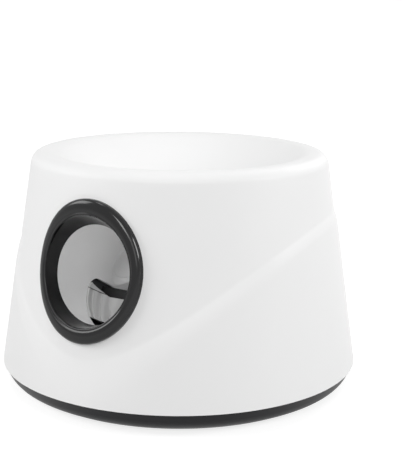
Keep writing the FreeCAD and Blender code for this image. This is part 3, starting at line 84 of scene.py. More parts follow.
# The lowest and highest of the wall's levels over its land at the seam, and how many there are.
WALL_LEVELS = (18.7, 164, 119)
COLUMNS = 360
CREASE_STEP = 1.5
CREASE_NARROWEST = 0.5
RIM_ROUND = 9.0
RIM_LEVELS = 16
SHELL_WALL = 2.6
BOWL_EDGE = 100.0
EDGE_GAP = 0.003
SHARP_EDGE = math.radians(35)
# Centre in the side view, as Y and Z, and radius of the crease's two arcs.
LOWER_ARC = (23.85, -44.5, 171.2)
UPPER_ARC = (25.2, -50.2, 183.95)
# Moulded plastic's colour drifts over this many millimetres.
FLOW_MM = 45.0


def linear(code):
    """The linear colour of an sRGB hex value."""
    parts = np.array([int(code[k:k + 2], 16) for k in (1, 3, 5)]) / 255.0
    curve = np.where(parts <= 0.04045, parts / 12.92, ((parts + 0.055) / 1.055) ** 2.4)
    return (*curve.tolist(), 1.0)


def add(tree, kind, inputs=(), **settings):
    """Add a node. Settings name its properties or its input sockets; each of inputs pairs a socket
    with the output it takes its value from, or with the value itself."""
    made = tree.nodes.new("ShaderNode" + kind)
    for key, value in settings.items():
        if hasattr(made, key):
            setattr(made, key, value)
        else:
            made.inputs[key.replace("_", " ")].default_value = value
    for socket, source in inputs:
        if isinstance(source, bpy.types.NodeSocket):
            tree.links.new(source, made.inputs[socket])
        else:
            made.inputs[socket].default_value = source
    return made


def begin(name):
    """A new material, its tree, its shader and the Object coordinates that its patterns read."""
    made = bpy.data.materials.new(name)
    made.use_nodes = True
    tree = made.node_tree
    return made, tree, tree.nodes["Principled BSDF"], add(tree, "TexCoord").outputs["Object"]


def vary(tree, shader, cloud, lowest, highest, grain, strength, relief_mm):
    """Vary a shader's roughness with one pattern, and raise its surface by another."""
    gloss = add(tree, "MapRange", [("Value", cloud)], To_Min=lowest, To_Max=highest)
    tree.links.new(gloss.outputs["Result"], shader.inputs["Roughness"])
    relief = add(tree, "Bump", [("Height", grain)], Strength=strength, Distance=relief_mm * MM)
    tree.links.new(relief.outputs["Normal"], shader.inputs["Normal"])


def moulded(name, colour, roughness, grain_mm, relief_mm, drift=0.03, ior=1.5, shine=0.5):
    """Injection-moulded plastic. Its colour drifts a little over 45 mm, as flow lines do, its
    roughness drifts with it by 12% either way, and the tool's spark-eroded grain of the given size
    shows as a fine relief."""
    made, tree, shader, place = begin(name)
    flow = add(tree, "TexNoise", [("Vector", place)], Scale=METRE / FLOW_MM, Detail=3.0)
    tint = add(tree, "ValToRGB", [("Fac", flow.outputs["Fac"])])
    low, high = tint.color_ramp.elements
    low.position, high.position = 0.3, 0.7
    high.color = linear(colour)
    low.color = (*(part * (1 - drift) for part in linear(colour)[:3]), 1.0)
    tree.links.new(tint.outputs["Color"], shader.inputs["Base Color"])
    grain = add(tree, "TexNoise", [("Vector", place)], Scale=METRE / grain_mm, Detail=2.0)
    vary(tree, shader, flow.outputs["Fac"], roughness * 0.88, roughness * 1.12,
         grain.outputs["Fac"], 0.5, relief_mm)
    shader.inputs["IOR"].default_value = ior
    shader.inputs["Specular IOR Level"].default_value = shine
    return made


def wall_radius(z):
    """Radius of the lower skin at a height: the seam's radius less the height over the seam times
    a fixed slope."""
    return SEAM_RADIUS - (z - SEAM_HEIGHT) * LEAN_SLOPE


def crease_depth(y, z):
    """How far the skin stands back. Two arcs are drawn in the side view: below the lower one it is
    0, above the upper one a full step, and between them it rises ever faster, as six tenths of the
    share of the way and four tenths of the share's cube."""
    above = np.hypot(y - UPPER_ARC[0], z - UPPER_ARC[1]) - UPPER_ARC[2]
    below = np.hypot(y - LOWER_ARC[0], z - LOWER_ARC[1]) - LOWER_ARC[2]
    share = np.clip(below / np.maximum(below - above, CREASE_NARROWEST), 0, 1)
    share = np.where(above > 0, 1.0, share)
    return CREASE_STEP * (0.6 * share + 0.4 * share ** 3)


def grid_faces(rows, columns, closed_rows=False, closed_columns=False):
    """Quads that join neighbouring points of a grid stored row by row."""
    row = np.arange(rows if closed_rows else rows - 1)[:, None]
    column = np.arange(columns if closed_columns else columns - 1)[None, :]
    row_next, column_next = (row + 1) % rows, (column + 1) % columns
    quads = [row * columns + column, row * columns + column_next,
             row_next * columns + column_next, row_next * columns + column]
    return np.stack([quad + 0 * row + 0 * column for quad in quads], axis=-1).reshape(-1, 4)


def surface(name, points, faces, material, body, slot, *nodes):
    """A smooth-shaded piece from points in millimetres. It rides on a body, if one is given, and
    stands for CAD nodes."""
    mesh = bpy.data.meshes.new(name)
    mesh.from_pydata((points * MM).tolist(), [], faces.tolist())
    mesh.validate()
    mesh.shade_smooth()
    piece = bpy.data.objects.new(name, mesh)
    bpy.context.scene.collection.objects.link(piece)
    mesh.materials.append(material)
    if body:
        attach(piece, body)
    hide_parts(*nodes)
    return piece


def settle(piece):
    """Turn a piece's modifiers into its mesh, smooth but for edges sharper than 35 degrees."""
    bpy.context.view_layer.update()
    solid = piece.evaluated_get(bpy.context.evaluated_depsgraph_get())
    made = bpy.data.meshes.new_from_object(solid)
    piece.modifiers.clear()
    piece.data = made
    made.shade_smooth()
    made.set_sharp_from_angle(angle=SHARP_EDGE)


def thicken(piece, depth):
    """Give an outer skin its wall, inwards, with closed edges."""
    wall = piece.modifiers.new("wall", "SOLIDIFY")
    wall.thickness = depth * MM
    wall.offset = -1.0
    wall.use_even_offset = True
    settle(piece)


# Satin white ABS from a finely eroded tool: clean white with a faint, broad sheen.
shell_white = moulded("white_abs_moulded", "#E8E8E8", 0.42, 0.9, 0.004, drift=0.01, shine=0.1)
around = np.linspace(0, 2 * np.pi, COLUMNS, endpoint=False)
outward = np.stack([np.cos(around), np.sin(around), np.zeros_like(around)], axis=1)
rise = np.array([0, 0, 1.0])
wall_rows = []
for z in [SEAM_HEIGHT, SEAM_HEIGHT + SEAM_LAND, *np.linspace(*WALL_LEVELS)]:
    skin = wall_radius(z) - crease_depth(wall_radius(z) * np.sin(around), z)
    wall_rows.append(outward * skin[:, None] + rise * z)
# The rim's round touches the leaning wall and the flat crest.
lean = math.atan(LEAN_SLOPE)
crown_radius = wall_radius(CREST) - CREASE_STEP
rim_middle = crown_radius - RIM_ROUND * math.tan((math.pi / 2 - lean) / 2)
for angle in np.linspace(lean, math.pi / 2, RIM_LEVELS):
    wall_rows.append(outward * (rim_middle + RIM_ROUND * math.cos(angle))
                     + rise * (CREST - RIM_ROUND + RIM_ROUND * math.sin(angle)))
wall_rows.append(outward * (BOWL_EDGE + EDGE_GAP) + rise * CREST)
shell = surface("upper_shell_cover", np.concatenate(wall_rows),
                grid_faces(len(wall_rows), COLUMNS, closed_columns=True),
                shell_white, "housing", "shell_white", "upper_shell")
thicken(shell, SHELL_WALL)

# Openings of the shell, as half width, half height and corner radius.
EXIT_HEIGHT = 107.0
EXIT_HOLE = (37.1, 40.5)
PANEL_HEIGHT = 78.0
PANEL_HOLE = (37.3, 18.3, 8)
INLET_HEIGHT = 38.0
INLET_DEPTH = 2.0
INLET_POCKET = (8.0, 8.0)
INLET_HOLE = (5.8, 5.8)


def oval(half_width, half_height, count=160):
    """Points round an ellipse: half width times cosine, half height times sine."""
    angle = np.linspace(0, 2 * np.pi, count, endpoint=False)
    return np.column_stack([half_width * np.cos(angle), half_height * np.sin(angle)])


def rounded(half_width, half_height, corner, count=10):
    """Points round a rectangle whose corners are quarter circles."""
    turns = np.linspace(0, np.pi / 2, count)
    spots = []
    for quarter, (x, y) in enumerate(((1, 1), (-1, 1), (-1, -1), (1, -1))):
        middle = np.array([x * (half_width - corner), y * (half_height - corner)])
        angle = turns + quarter * np.pi / 2
        spots.append(middle + corner * np.column_stack([np.cos(angle), np.sin(angle)]))
    return np.concatenate(spots)


def pierce(piece, corners, origin, axes, low, high):
    """Cut a prism through a piece. Its outline is given in a local frame, and it reaches from low
    to high along local Z."""
    count = len(corners)
    ends = [np.column_stack([corners, np.full(count, stop)]) @ axes + origin
            for stop in (low, high)]
    mesh = bpy.data.meshes.new("opening")
    sides = grid_faces(2, count, closed_columns=True).tolist()
    caps = [list(range(count))[::-1], list(range(count, 2 * count))]
    mesh.from_pydata((np.concatenate(ends) * MM).tolist(), [], sides + caps)
    cutter = bpy.data.objects.new("opening", mesh)
    bpy.context.scene.collection.objects.link(cutter)
    hole = piece.modifiers.new("hole", "BOOLEAN")
    hole.operation = "DIFFERENCE"
    hole.object = cutter
    hole.solver = "EXACT"
    settle(piece)
    bpy.data.objects.remove(cutter)


lean_cos, lean_sin = math.cos(lean), math.sin(lean)
exit_origin = np.array([0, -(wall_radius(EXIT_HEIGHT) - CREASE_STEP), EXIT_HEIGHT])
exit_axes = np.array([[1, 0, 0], [0, lean_sin, lean_cos], [0, -lean_cos, lean_sin]])
pierce(shell, oval(*EXIT_HOLE), exit_origin, exit_axes, low=-12, high=12)
panel_origin = np.array([0, wall_radius(PANEL_HEIGHT), PANEL_HEIGHT])
panel_axes = np.array([[1, 0, 0], [0, lean_sin, -lean_cos], [0, lean_cos, lean_sin]])
pierce(shell, rounded(*PANEL_HOLE), panel_origin, panel_axes, low=-20, high=8)
# The inlet stands square to the back in a flat pocket, with a hole through its floor.
inlet_origin = np.array([0, wall_radius(INLET_HEIGHT) - INLET_DEPTH, INLET_HEIGHT])
inlet_axes = np.array([[1, 0, 0], [0, 0, -1], [0, 1, 0]])
pierce(shell, oval(*INLET_POCKET, count=64), inlet_origin, inlet_axes, low=0, high=10)
pierce(shell, oval(*INLET_HOLE, count=48), inlet_origin, inlet_axes, low=-20, high=5)

# The feed bowl is a second white moulding, dropped on a ledge in the rim: a rounded edge, a smooth
# funnel whose throat lies nearer the exit, and a short neck over the chute.
BOWL_MOUTH = 93.0
BOWL_ROUND = 18.0
BOWL_FLOOR = 134.0
BOWL_WALL = 2.2
THROAT = 30.2
THROAT_Y = -9.23
TURN_DROP = 2.0
NECK_FOOT = 128.0
EDGE_ROWS, FUNNEL_ROWS, TURN_ROWS = 15, 26, 8
mouth = outward * BOWL_MOUTH + rise * CREST
throat = outward * THROAT + np.array([0, THROAT_Y, BOWL_FLOOR])
run = throat - mouth
# Fall is the funnel's slope in each direction, and grip how far its edge's round reaches.
fall = np.arcsin(-run[:, 2:3] / np.linalg.norm(run, axis=1, keepdims=True))
grip = BOWL_ROUND * np.tan(fall / 2)
bowl_rows = [outward * (BOWL_EDGE - EDGE_GAP) + rise * CREST]
for share in np.linspace(0, 1, EDGE_ROWS):
    bowl_rows.append(mouth + outward * (grip - BOWL_ROUND * np.sin(fall * share))
                     - rise * BOWL_ROUND * (1 - np.cos(fall * share)))
slope_top = bowl_rows[-1]
for share in np.linspace(0, 1, FUNNEL_ROWS)[1:-1]:
    bowl_rows.append(slope_top + (throat - slope_top) * share)
# A quadratic Bezier curve turns the funnel down into its neck.
turn_start = bowl_rows[-1]
for share in np.linspace(0, 1, TURN_ROWS)[1:]:
    bowl_rows.append((1 - share) ** 2 * turn_start + 2 * share * (1 - share) * throat
                     + share ** 2 * (throat - TURN_DROP * rise))
bowl_rows.append(throat - rise * (BOWL_FLOOR - NECK_FOOT))
bowl = surface("feed_bowl_funnel", np.concatenate(bowl_rows),
               grid_faces(len(bowl_rows), COLUMNS, closed_columns=True),
               shell_white, "housing", "shell_white", "feed_bowl")
thicken(bowl, BOWL_WALL)

# The exit ring is polished dark ABS, held by four screws from inside: a domed flange that follows
# the wall, a rounded lip, and a sleeve inside that narrows to the mouth of the launch tube.
LIP_WIDE, LIP_HIGH = 34.6, 38.0
RING_WIDE, RING_HIGH = 41.4, 49.0
RING_COLUMNS = 240
MOUTH_WIDE, MOUTH_HIGH, MOUTH_DROP, MOUTH_DEPTH = 32.0, 34.3, 3.05, 11.25
SLEEVE_WALL = 2.2
SLEEVE_ROWS = 14
SEAT_GAP = 0.02
SKIN_STEPS = 14
# Section of the flange: share of the way from lip to rim, and height over the wall.
FLANGE = [(1.0, SEAT_GAP), (1.0, 1.7), (0.993, 2.5), (0.975, 3.2), (0.945, 3.8), (0.9, 4.25),
          (0.84, 4.6), (0.76, 4.83), (0.66, 4.96), (0.55, 5.0), (0.43, 4.98), (0.33, 4.92),
          (0.25, 4.78), (0.2, 4.56), (0.165, 4.38), (0.14, 4.34), (0.115, 4.42), (0.08, 4.46),
          (0.045, 4.32), (0.015, 3.95), (0.0, 3.4)]


def on_wall(spots):
    """Local height of the wall's skin over points of the exit's frame, found by repeated steps:
    each takes off nine tenths of the distance that is left to the skin."""
    height = np.zeros(len(spots))
    for _ in range(SKIN_STEPS):
        x, y, z = (np.column_stack([spots, height]) @ exit_axes + exit_origin).T
        height -= 0.9 * (np.hypot(x, y) - wall_radius(z) + crease_depth(y, z))
    return height


# Polished black ABS: near black, with sharp window-like highlights on its dome and lip.
ring_black = moulded("black_abs_polished", "#0E0E0F", 0.13, 0.5, 0.0006, drift=0.1, shine=0.36)
ring_turn = np.linspace(0, 2 * np.pi, RING_COLUMNS, endpoint=False)
unit = np.column_stack([np.cos(ring_turn), np.sin(ring_turn)])
lip_line = unit * (LIP_WIDE, LIP_HIGH)
rim_line = unit * (RING_WIDE, RING_HIGH)
ring_rows = []
for share, height in FLANGE:
    flat = lip_line + (rim_line - lip_line) * share
    ring_rows.append(np.column_stack([flat, on_wall(flat) + height]))
lip_level = ring_rows[-1][:, 2]
# The sleeve narrows slowly at first, as the share of the way down to the power of 1.25.
for share in np.linspace(0, 1, SLEEVE_ROWS)[1:]:
    ease = share ** 1.25
    wide = LIP_WIDE + (MOUTH_WIDE - LIP_WIDE) * ease
    high = LIP_HIGH + (MOUTH_HIGH - LIP_HIGH) * ease
    flat = unit * (wide, high) - np.array([0, MOUTH_DROP * ease])
    ring_rows.append(np.column_stack([flat, lip_level + (-MOUTH_DEPTH - lip_level) * share]))
back = unit * (LIP_WIDE + SLEEVE_WALL, LIP_HIGH + SLEEVE_WALL)
ring_rows.append(np.column_stack([back, np.full(RING_COLUMNS, -MOUTH_DEPTH)]))
ring_rows.append(np.column_stack([back, on_wall(back) + SEAT_GAP]))
ring = surface("exit_ring_polished", np.concatenate(ring_rows) @ exit_axes + exit_origin,
               grid_faces(len(ring_rows), RING_COLUMNS, closed_rows=True, closed_columns=True),
               ring_black, "housing", "ring_black", "exit_ring")
ring.data.set_sharp_from_angle(angle=math.radians(50))

# The launch tube slopes up to the exit, and the feed chute drops balls into it from the bowl.
# Both are satin grey ABS, screwed between the chassis plates.
tube_grey = moulded("grey_abs_satin", "#F8F8F8", 0.36, 0.8, 0.006, drift=0.02)
# The chute's copy is a little darker: painted shade that evens out the light falling into it from
# the bowl.
chute_grey_shaded = moulded("grey_abs_satin_chute_shaded", "#F4F4F4", 0.4, 0.8, 0.006, drift=0.02)


def dress(material, *nodes):
    """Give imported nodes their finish."""
    for node in nodes:
        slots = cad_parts[node].data.materials
        slots.clear()
        slots.append(material)


dress(tube_grey, "launch_barrel")
dress(chute_grey_shaded, "feed_chute")

# The striker's head is a ribbed half cup of pale grey nylon, screwed to the black carriage that
# runs in the chassis slots. Just under its edge, a thin line of painted shade stands for a groove's
# shadow.
SHADOW_LINE_DROP = 1.0
RIB_CENTRE = 45.0
RIBS_ROUND = 24.0
# Sine and cosine of the launch tube's tilt of 30 degrees.
TILT_SINE, TILT_COSINE = 0.5, math.cos(math.radians(30))
launch_origin = np.array([0, -112.0, 104.0])
down = np.array([0, TILT_COSINE, -TILT_SINE])
across_tube = np.array([0, TILT_SINE, TILT_COSINE])
striker_grey = moulded("grey_nylon_moulded", "#C9C9C9", 0.4, 0.8, 0.01, drift=0.03)
tree = striker_grey.node_tree
shader = tree.nodes["Principled BSDF"]
place = add(tree, "TexCoord").outputs["Object"]
# Height over the tube's axis in millimetres, and from it the distance to a painted shadow line,
# which keeps an eighth of the brightness.
over_axis = add(tree, "VectorMath", [(0, place), (1, tuple(across_tube * METRE))],
                operation="DOT_PRODUCT")
height = add(tree, "Math", [(0, over_axis.outputs["Value"]), (1, launch_origin @ across_tube)],
             operation="SUBTRACT")
away = add(tree, "Math", [(0, height.outputs[0]), (1, SHADOW_LINE_DROP)], operation="ADD")
line = add(tree, "Math", [(0, away.outputs[0])], operation="ABSOLUTE")
painted_shadow_line = add(tree, "MapRange", [("Value", line.outputs[0])], From_Min=0.15, From_Max=0.4,
                 To_Min=0.12, To_Max=1.0)
# Ribs run down the hollow 15 degrees apart, under a smooth band; shade is painted in their troughs.
split = add(tree, "SeparateXYZ", [(0, place)])
down_tube = add(tree, "VectorMath", [(0, place), (1, tuple(down * METRE))],
                operation="DOT_PRODUCT")
depth = add(tree, "Math", [(0, down_tube.outputs["Value"]),
                           (1, launch_origin @ down + RIB_CENTRE)], operation="SUBTRACT")
across = add(tree, "Math", [(0, split.outputs["X"]), (1, METRE)], operation="MULTIPLY")
azimuth = add(tree, "Math", [(0, depth.outputs[0]), (1, across.outputs[0])], operation="ARCTAN2")
wave_turn = add(tree, "Math", [(0, azimuth.outputs[0]), (1, RIBS_ROUND)], operation="MULTIPLY")
wave = add(tree, "Math", [(0, wave_turn.outputs[0])], operation="COSINE")
below = add(tree, "MapRange", [("Value", height.outputs[0])], From_Min=-1.2, From_Max=-1.6,
            To_Min=0.0, To_Max=1.0)
ribbed = add(tree, "Math", [(0, wave.outputs[0]), (1, below.outputs["Result"])],
             operation="MULTIPLY")
rib_shade = add(tree, "MapRange", [("Value", ribbed.outputs[0])], From_Min=-1.0, From_Max=1.0,
                To_Min=0.88, To_Max=1.0)
shade = add(tree, "Math", [(0, rib_shade.outputs["Result"]), (1, painted_shadow_line.outputs["Result"])],
            operation="MULTIPLY")
tint = shader.inputs["Base Color"].links[0].from_socket
painted = add(tree, "VectorMath", [(0, tint), ("Scale", shade.outputs[0])], operation="SCALE")
tree.links.new(painted.outputs[0], shader.inputs["Base Color"])
dress(striker_grey, "striker_head")

# The carriage runs in the slots of two chassis plates, which carry the gearbox too. All are matt
# black ABS, deeply grained so that they don't glare inside; the carriage's grain is the finer.
carriage_black = moulded("black_abs_fine_grain", "#161617", 0.5, 0.7, 0.015, drift=0.08)
dress(carriage_black, "striker_carriage", "home_switch")
chassis_black = moulded("black_abs_grained", "#3A3A3B", 0.5, 1.2, 0.03, drift=0.08)
dress(chassis_black, "chassis_left", "chassis_right", "chassis_spacers", "gearbox_plate",
      "gearbox_cover")

# Two draw springs of bare spring steel pull the carriage forward. Each is close-wound wire with a
# looped eye at each end: the front eye hangs on a housing pin, the rear one on the carriage.
SPRING_SIDE = 42.8
SPRING_LIFT = 4.5
SPRING_WIRE = 1.0
WIRE_SIDES = 8
COIL_RADIUS = 2.7
FRONT_PIN, REAR_PIN = 20.0, 75.0
FRONT_EYE, REAR_EYE = 2.5, 2.1
EYE_GAP = 0.35
EYE_POINTS = 40
COIL_ENDS = (25.0, 70.0)
COIL_TURNS = 30
TURN_POINTS = 16
WELD_REACH = 0.001
# Metal's cloudy pattern is this many times as large as its tool marks.
CLOUD_RATIO = 5


def metal(name, colour, roughness, mark_mm, relief_mm, stretch=(1.0, 1.0, 1.0)):
    """Bare or plated metal. Fine tool marks of the given size, stretched along a direction, break
    up its sheen. A cloudier pattern five times as large varies its roughness by 30% either way,
    and its colour by a fifth."""
    made, tree, shader, place = begin(name)
    shader.inputs["Metallic"].default_value = 1.0
    turned = add(tree, "Mapping", [("Vector", place)], Scale=stretch)
    cloud = add(tree, "TexNoise", [("Vector", place)], Scale=METRE / (CLOUD_RATIO * mark_mm),
                Detail=2.0)
    tint = add(tree, "ValToRGB", [("Fac", cloud.outputs["Fac"])])
    low, high = tint.color_ramp.elements
    low.position, high.position = 0.25, 0.75
    high.color = linear(colour)
    low.color = (*(part * 0.8 for part in linear(colour)[:3]), 1.0)
    tree.links.new(tint.outputs["Color"], shader.inputs["Base Color"])
    marks = add(tree, "TexNoise", [("Vector", turned.outputs[0])], Scale=METRE / mark_mm,
                Detail=3.0)
    vary(tree, shader, cloud.outputs["Fac"], roughness * 0.7, roughness * 1.3,
         marks.outputs["Fac"], 0.5, relief_mm)
    return made


def spring_wire(side):
    """Middle line of one spring, in columns across, down and over the tube. An eye is a circle in
    the plane of down and over. The coil is a helix whose radius swells from 0 as a smooth step
    over its first half turn and shrinks back over its last."""
    loop = np.linspace(EYE_GAP, 2 * np.pi, EYE_POINTS)
    zero = np.zeros(EYE_POINTS)
    front = np.column_stack([zero, FRONT_PIN + FRONT_EYE * np.cos(loop),
                             FRONT_EYE * np.sin(loop)])
    angle = np.linspace(0, 2 * np.pi * COIL_TURNS, TURN_POINTS * COIL_TURNS + 1)
    ends = np.clip(np.minimum(angle, angle[-1] - angle) / np.pi, 0, 1)
    radius = COIL_RADIUS * ends ** 2 * (3 - 2 * ends)
    along = COIL_ENDS[0] + (COIL_ENDS[1] - COIL_ENDS[0]) * angle / angle[-1]
    coil = np.column_stack([radius * np.sin(angle), along, radius * np.cos(angle)])
    turn_back = np.linspace(np.pi, 3 * np.pi - EYE_GAP, EYE_POINTS)
    rear = np.column_stack([zero, REAR_PIN + REAR_EYE * np.cos(turn_back),
                            REAR_EYE * np.sin(turn_back)])
    line = np.concatenate([front, coil, rear])
    line[:, 0] += side * SPRING_SIDE
    line[:, 2] += SPRING_LIFT
    return line


def swept(line, radius):
    """A round bar along a line: at each point a circle in the plane square to the line's
    direction, whose first axis is the last circle's, freed of its part along the new direction."""
    heading = np.gradient(line, axis=0)
    heading /= np.linalg.norm(heading, axis=1, keepdims=True)
    any_way = [0.3, 0.2, 0.9]
    first = np.cross(heading[0], any_way)
    firsts = []
    for direction in heading:
        first = first - direction * (first @ direction)
        first /= np.linalg.norm(first)
        firsts.append(first)
    firsts = np.array(firsts)
    seconds = np.cross(heading, firsts)
    angle = np.linspace(0, 2 * np.pi, WIRE_SIDES, endpoint=False)[None, :, None]
    rings = line[:, None, :] + radius * (np.cos(angle) * firsts[:, None, :]
                                         + np.sin(angle) * seconds[:, None, :])
    tips = np.repeat(line[[0, -1], None, :], WIRE_SIDES, axis=1)
    return np.concatenate([tips[:1], rings, tips[1:]]).reshape(-1, 3)


def weld(piece):
    """Join points that lie together, so that the bar's two tips are closed."""
    joined = bmesh.new()
    joined.from_mesh(piece.data)
    bmesh.ops.remove_doubles(joined, verts=joined.verts[:], dist=WELD_REACH * MM)
    joined.to_mesh(piece.data)
    joined.free()
    piece.data.shade_smooth()


# Drawn spring steel: a darker grey than plated parts, with fine marks left by the die.
spring_steel = metal("spring_steel_drawn", "#85868A", 0.3, 0.5, 0.004)
launch_axes = np.array([[1, 0, 0], down, across_tube])
for name, side in (("draw_spring_left", -1), ("draw_spring_right", 1)):
    wire = swept(spring_wire(side) @ launch_axes + launch_origin, SPRING_WIRE / 2)
    spring = surface(name, wire, grid_faces(len(wire) // WIRE_SIDES, WIRE_SIDES,
                                            closed_columns=True),
                     spring_steel, None, "spring_steel", "draw_springs")
    weld(spring)
    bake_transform(spring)

# The gears are moulded in natural acetal and run on steel shafts and axles. It is milky, a little
# waxy and slightly see-through: light goes about 1.5 mm deep.
acetal = moulded("acetal_natural", "#E9E6DC", 0.34, 0.7, 0.006, drift=0.04, ior=1.48)
shader = acetal.node_tree.nodes["Principled BSDF"]
shader.inputs["Subsurface Weight"].default_value = 0.15
shader.inputs["Subsurface Radius"].default_value = (0.0015, 0.0014, 0.0012)
shader.inputs["Subsurface Scale"].default_value = 1.0
dress(acetal, "release_gear", "drive_gear", "middle_gear", "fast_gear", "motor_pinion")

# Shafts, pins and screws are turned or rolled steel with bright zinc plating; the motor's can is
# deep-drawn from the same plated sheet.
zinc_plate = metal("zinc_plated_steel", "#C3C6CA", 0.28, 0.4, 0.006)
dress(zinc_plate, "base_screws", "ring_screws", "chassis_screws", "gearbox_screws", "head_screws",
      "switch_screw", "board_screws", "panel_screws", "spring_pins", "gear_axles",
      "release_shaft", "motor_shaft")
motor_plate = metal("zinc_plated_sheet_drawn", "#B4B8BD", 0.36, 1.0, 0.01,
                    stretch=(1.0, 6.0, 6.0))
dress(motor_plate, "motor_can")

# The release shaft turns in bushes of sintered bronze, pressed into their seats. The metal is
# dull and finely porous.
bush_bronze = metal("sintered_bronze", "#A67C4A", 0.5, 0.3, 0.02)
dress(bush_bronze, "shaft_bushes")

# The feet under the base and the stops at the fronts of the carriage's slots are moulded in
# nitrile rubber, matt and faintly dusty.
nitrile = moulded("nitrile_rubber_matt", "#232323", 0.78, 0.8, 0.03, drift=0.25, ior=1.52)
dress(nitrile, "rubber_feet", "stop_bumpers")

# The base tray is screwed up into the shell, and the battery door is hinged in it. Both are satin
# charcoal ABS, moulded in a lightly eroded tool.
base_grey = moulded("charcoal_abs_satin", "#1C1C1E", 0.42, 1.0, 0.01, drift=0.06, shine=0.15)
dress(base_grey, "base_tray", "battery_door")

# The control panel is a charcoal ABS plate in the back wall's opening, with posts behind it for
# its switch board. Its grain is finer than the base's.
panel_grey = moulded("charcoal_abs_fine_grain", "#262628", 0.4, 0.7, 0.012, drift=0.05)
dress(panel_grey, "control_panel")

# Two keys of grey ABS, for power and distance, slide in the panel and press on the tact switches
# behind it. Their faces are worn a little smoother than the panel.
key_grey = moulded("grey_abs_keys", "#8F9193", 0.36, 0.7, 0.006, drift=0.04)
dress(key_grey, "power_button", "distance_button")

# Three light pipes moulded in frosted polycarbonate bring the indicator lamps' light through the
# panel. They are pale and a little see-through.
frosted = moulded("frosted_polycarbonate", "#DDE8E0", 0.35, 0.5, 0.01, drift=0.03, ior=1.58)
shader = frosted.node_tree.nodes["Principled BSDF"]
shader.inputs["Transmission Weight"].default_value = 0.45
dress(frosted, "indicator_lenses")

# The power inlet is a moulded socket in the back wall. Like the tact switches, the board's parts
# and the ball sensors, it is black epoxy with a smooth skin.
epoxy_black = moulded("black_epoxy_moulded", "#19191B", 0.42, 0.5, 0.01, drift=0.12, ior=1.55)
dress(epoxy_black, "power_inlet", "tact_switches", "board_parts", "ball_sensors")

# Circuit boards of glass-fibre laminate under green solder mask. Tracks 3 mm apart show through it
# as paler lines in relief, and its gloss is cloudy.
FOUR_TRACKS = 12.0
CLOUD_MM = 6.0
mask_green, tree, shader, place = begin("solder_mask_green")
shader.inputs["IOR"].default_value = 1.52
tracks = add(tree, "TexBrick", [("Vector", place)], Scale=METRE / FOUR_TRACKS,
             Mortar_Size=0.05, Color1=linear("#175A32"), Color2=linear("#1C6639"),
             Mortar=linear("#2F8450"))
tree.links.new(tracks.outputs["Color"], shader.inputs["Base Color"])
cloud = add(tree, "TexNoise", [("Vector", place)], Scale=METRE / CLOUD_MM, Detail=2.0)
vary(tree, shader, cloud.outputs["Fac"], 0.22, 0.4, tracks.outputs["Fac"], 0.4, 0.03)
dress(mask_green, "main_board", "switch_board")

# Four cells in plain shrink wrap lie behind the door, between nickel-plated spring contacts. The
# wrap is slate film, glossy and finely wrinkled.
cell_wrap = moulded("pvc_shrink_wrap", "#3E4853", 0.25, 3.0, 0.05, drift=0.12, ior=1.54)
dress(cell_wrap, "battery_cells")
nickel = metal("nickel_plated_contact", "#C9C3B8", 0.2, 0.4, 0.004)
dress(nickel, "battery_contacts")

# The speaker sits in a ring on the base's floor. It has a pressed black frame and a pulp cone,
# ringed by corrugations 4 mm apart. The ring pattern has 20 radians to a unit of its scale.
SPEAKER_Y = 0.084
CORRUGATION = 3.948
speaker_black, tree, shader, place = begin("black_lacquered_frame")
centred = add(tree, "Mapping", [("Vector", place)], Location=(0.0, -SPEAKER_Y, 0.0))
rings = add(tree, "TexWave", [("Vector", centred.outputs[0])], wave_type="RINGS",
            rings_direction="Z", Scale=METRE / CORRUGATION * (2 * math.pi / 20), Distortion=0.0)
tint = add(tree, "ValToRGB", [("Fac", rings.outputs["Fac"])])
low, high = tint.color_ramp.elements
low.color, high.color = linear("#151516"), linear("#2A2A2B")
tree.links.new(tint.outputs["Color"], shader.inputs["Base Color"])
vary(tree, shader, rings.outputs["Fac"], 0.45, 0.65, rings.outputs["Fac"], 0.5, 0.2)
dress(speaker_black, "speaker")

# The floor is plain and pale: seamless studio paper, which also glows to the eye and in reflections
# so that it stays near white round the launcher's soft shadow.
FLOOR_REACH = 30
corners = [(x * FLOOR_REACH, y * FLOOR_REACH, 0) for x, y in ((-1, -1), (1, -1), (1, 1), (-1, 1))]
floor_mesh = bpy.data.meshes.new("studio_floor")
floor_mesh.from_pydata(corners, [], [(0, 1, 2, 3)])
floor = bpy.data.objects.new("studio_floor", floor_mesh)
bpy.context.scene.collection.objects.link(floor)
pale = bpy.data.materials.new("studio_paper")
pale.use_nodes = True
tree = pale.node_tree
tree.nodes.clear()
rays = add(tree, "LightPath")
paper = add(tree, "BsdfDiffuse", Color=linear("#B0B0B0"))
seen = add(tree, "Math", [(0, rays.outputs["Is Camera Ray"]), (1, rays.outputs["Is Glossy Ray"])],
           operation="MAXIMUM")
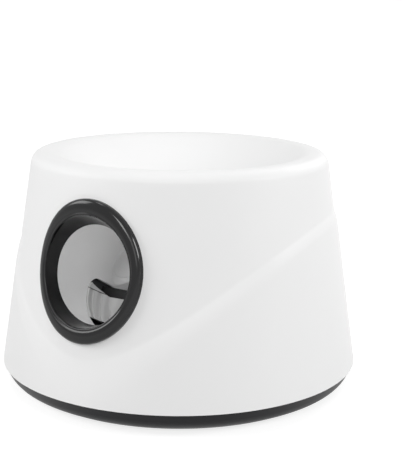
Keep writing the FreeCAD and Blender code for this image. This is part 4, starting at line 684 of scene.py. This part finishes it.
# The lamps fade with distance, so the glow rises from 0.75 beside the launcher to 0.9 far off.
place = add(tree, "TexCoord").outputs["Object"]
far = add(tree, "VectorMath", [(0, place)], operation="LENGTH")
rising = add(tree, "MapRange", [("Value", far.outputs["Value"])], From_Min=0.4, From_Max=2.0,
             To_Min=0.75, To_Max=0.9)
strength = add(tree, "Math", [(0, seen.outputs[0]), (1, rising.outputs["Result"])],
               operation="MULTIPLY")
glow = add(tree, "Emission", [("Strength", strength.outputs[0])], Color=(1, 1, 1, 1))
both = add(tree, "AddShader", [(0, paper.outputs[0]), (1, glow.outputs[0])])
add(tree, "OutputMaterial", [("Surface", both.outputs[0])])
floor_mesh.materials.append(pale)

# The studio is white to the eye, in reflections and through clear parts. As light on the launcher
# it is a soft grey.
AMBIENT = 0.37
world = bpy.data.worlds.new("white_studio")
bpy.context.scene.world = world
bpy.context.scene.view_settings.view_transform = "Standard"
world.use_nodes = True
tree = world.node_tree
tree.nodes.clear()
rays = add(tree, "LightPath")
seen = add(tree, "Math", [(0, rays.outputs["Is Camera Ray"]), (1, rays.outputs["Is Glossy Ray"])],
           operation="MAXIMUM")
seen_through = add(tree, "Math", [(0, seen.outputs[0]), (1, rays.outputs["Is Transmission Ray"])],
                   operation="MAXIMUM")
ambient = add(tree, "Background", Color=(1, 1, 1, 1), Strength=AMBIENT)
white = add(tree, "Background", Color=(1, 1, 1, 1), Strength=1.0)
choice = add(tree, "MixShader", [("Fac", seen_through.outputs[0]), (1, ambient.outputs[0]),
                                 (2, white.outputs[0])])
add(tree, "OutputWorld", [("Surface", choice.outputs[0])])

# Square soft lamps stand round the launcher and face its middle. Their powers are in watts and
# their sides in metres.
LIT_POINT = np.array([0, 0, 0.09])


def softbox(name, place, size, power):
    """A square lamp that faces the launcher."""
    light = bpy.data.lights.new(name, "AREA")
    light.size = size
    light.energy = power
    lit = bpy.data.objects.new(name, light)
    back = np.array(place) - LIT_POINT
    back /= np.linalg.norm(back)
    side = np.cross([0, 0, 1.0], back)
    side /= np.linalg.norm(side)
    facing = np.column_stack([side, np.cross(back, side), back])
    lit.matrix_world = Matrix.Translation(place) @ Matrix(facing.tolist()).to_4x4()
    bpy.context.scene.collection.objects.link(lit)


softbox("left_softbox", (-1.0, -0.9, 0.8), 0.7, 8.9)
softbox("right_softbox", (1.25, 0.35, 0.6), 0.5, 8.5)
softbox("front_softbox", (0.4, -1.3, 0.75), 0.45, 5.9)
softbox("fill_softbox", (0.85, -1.15, 0.55), 0.6, 2.0)
softbox("top_softbox", (-0.25, -0.3, 1.5), 0.35, 2.4)
softbox("back_softbox", (0.3, 1.25, 0.95), 0.7, 6.5)
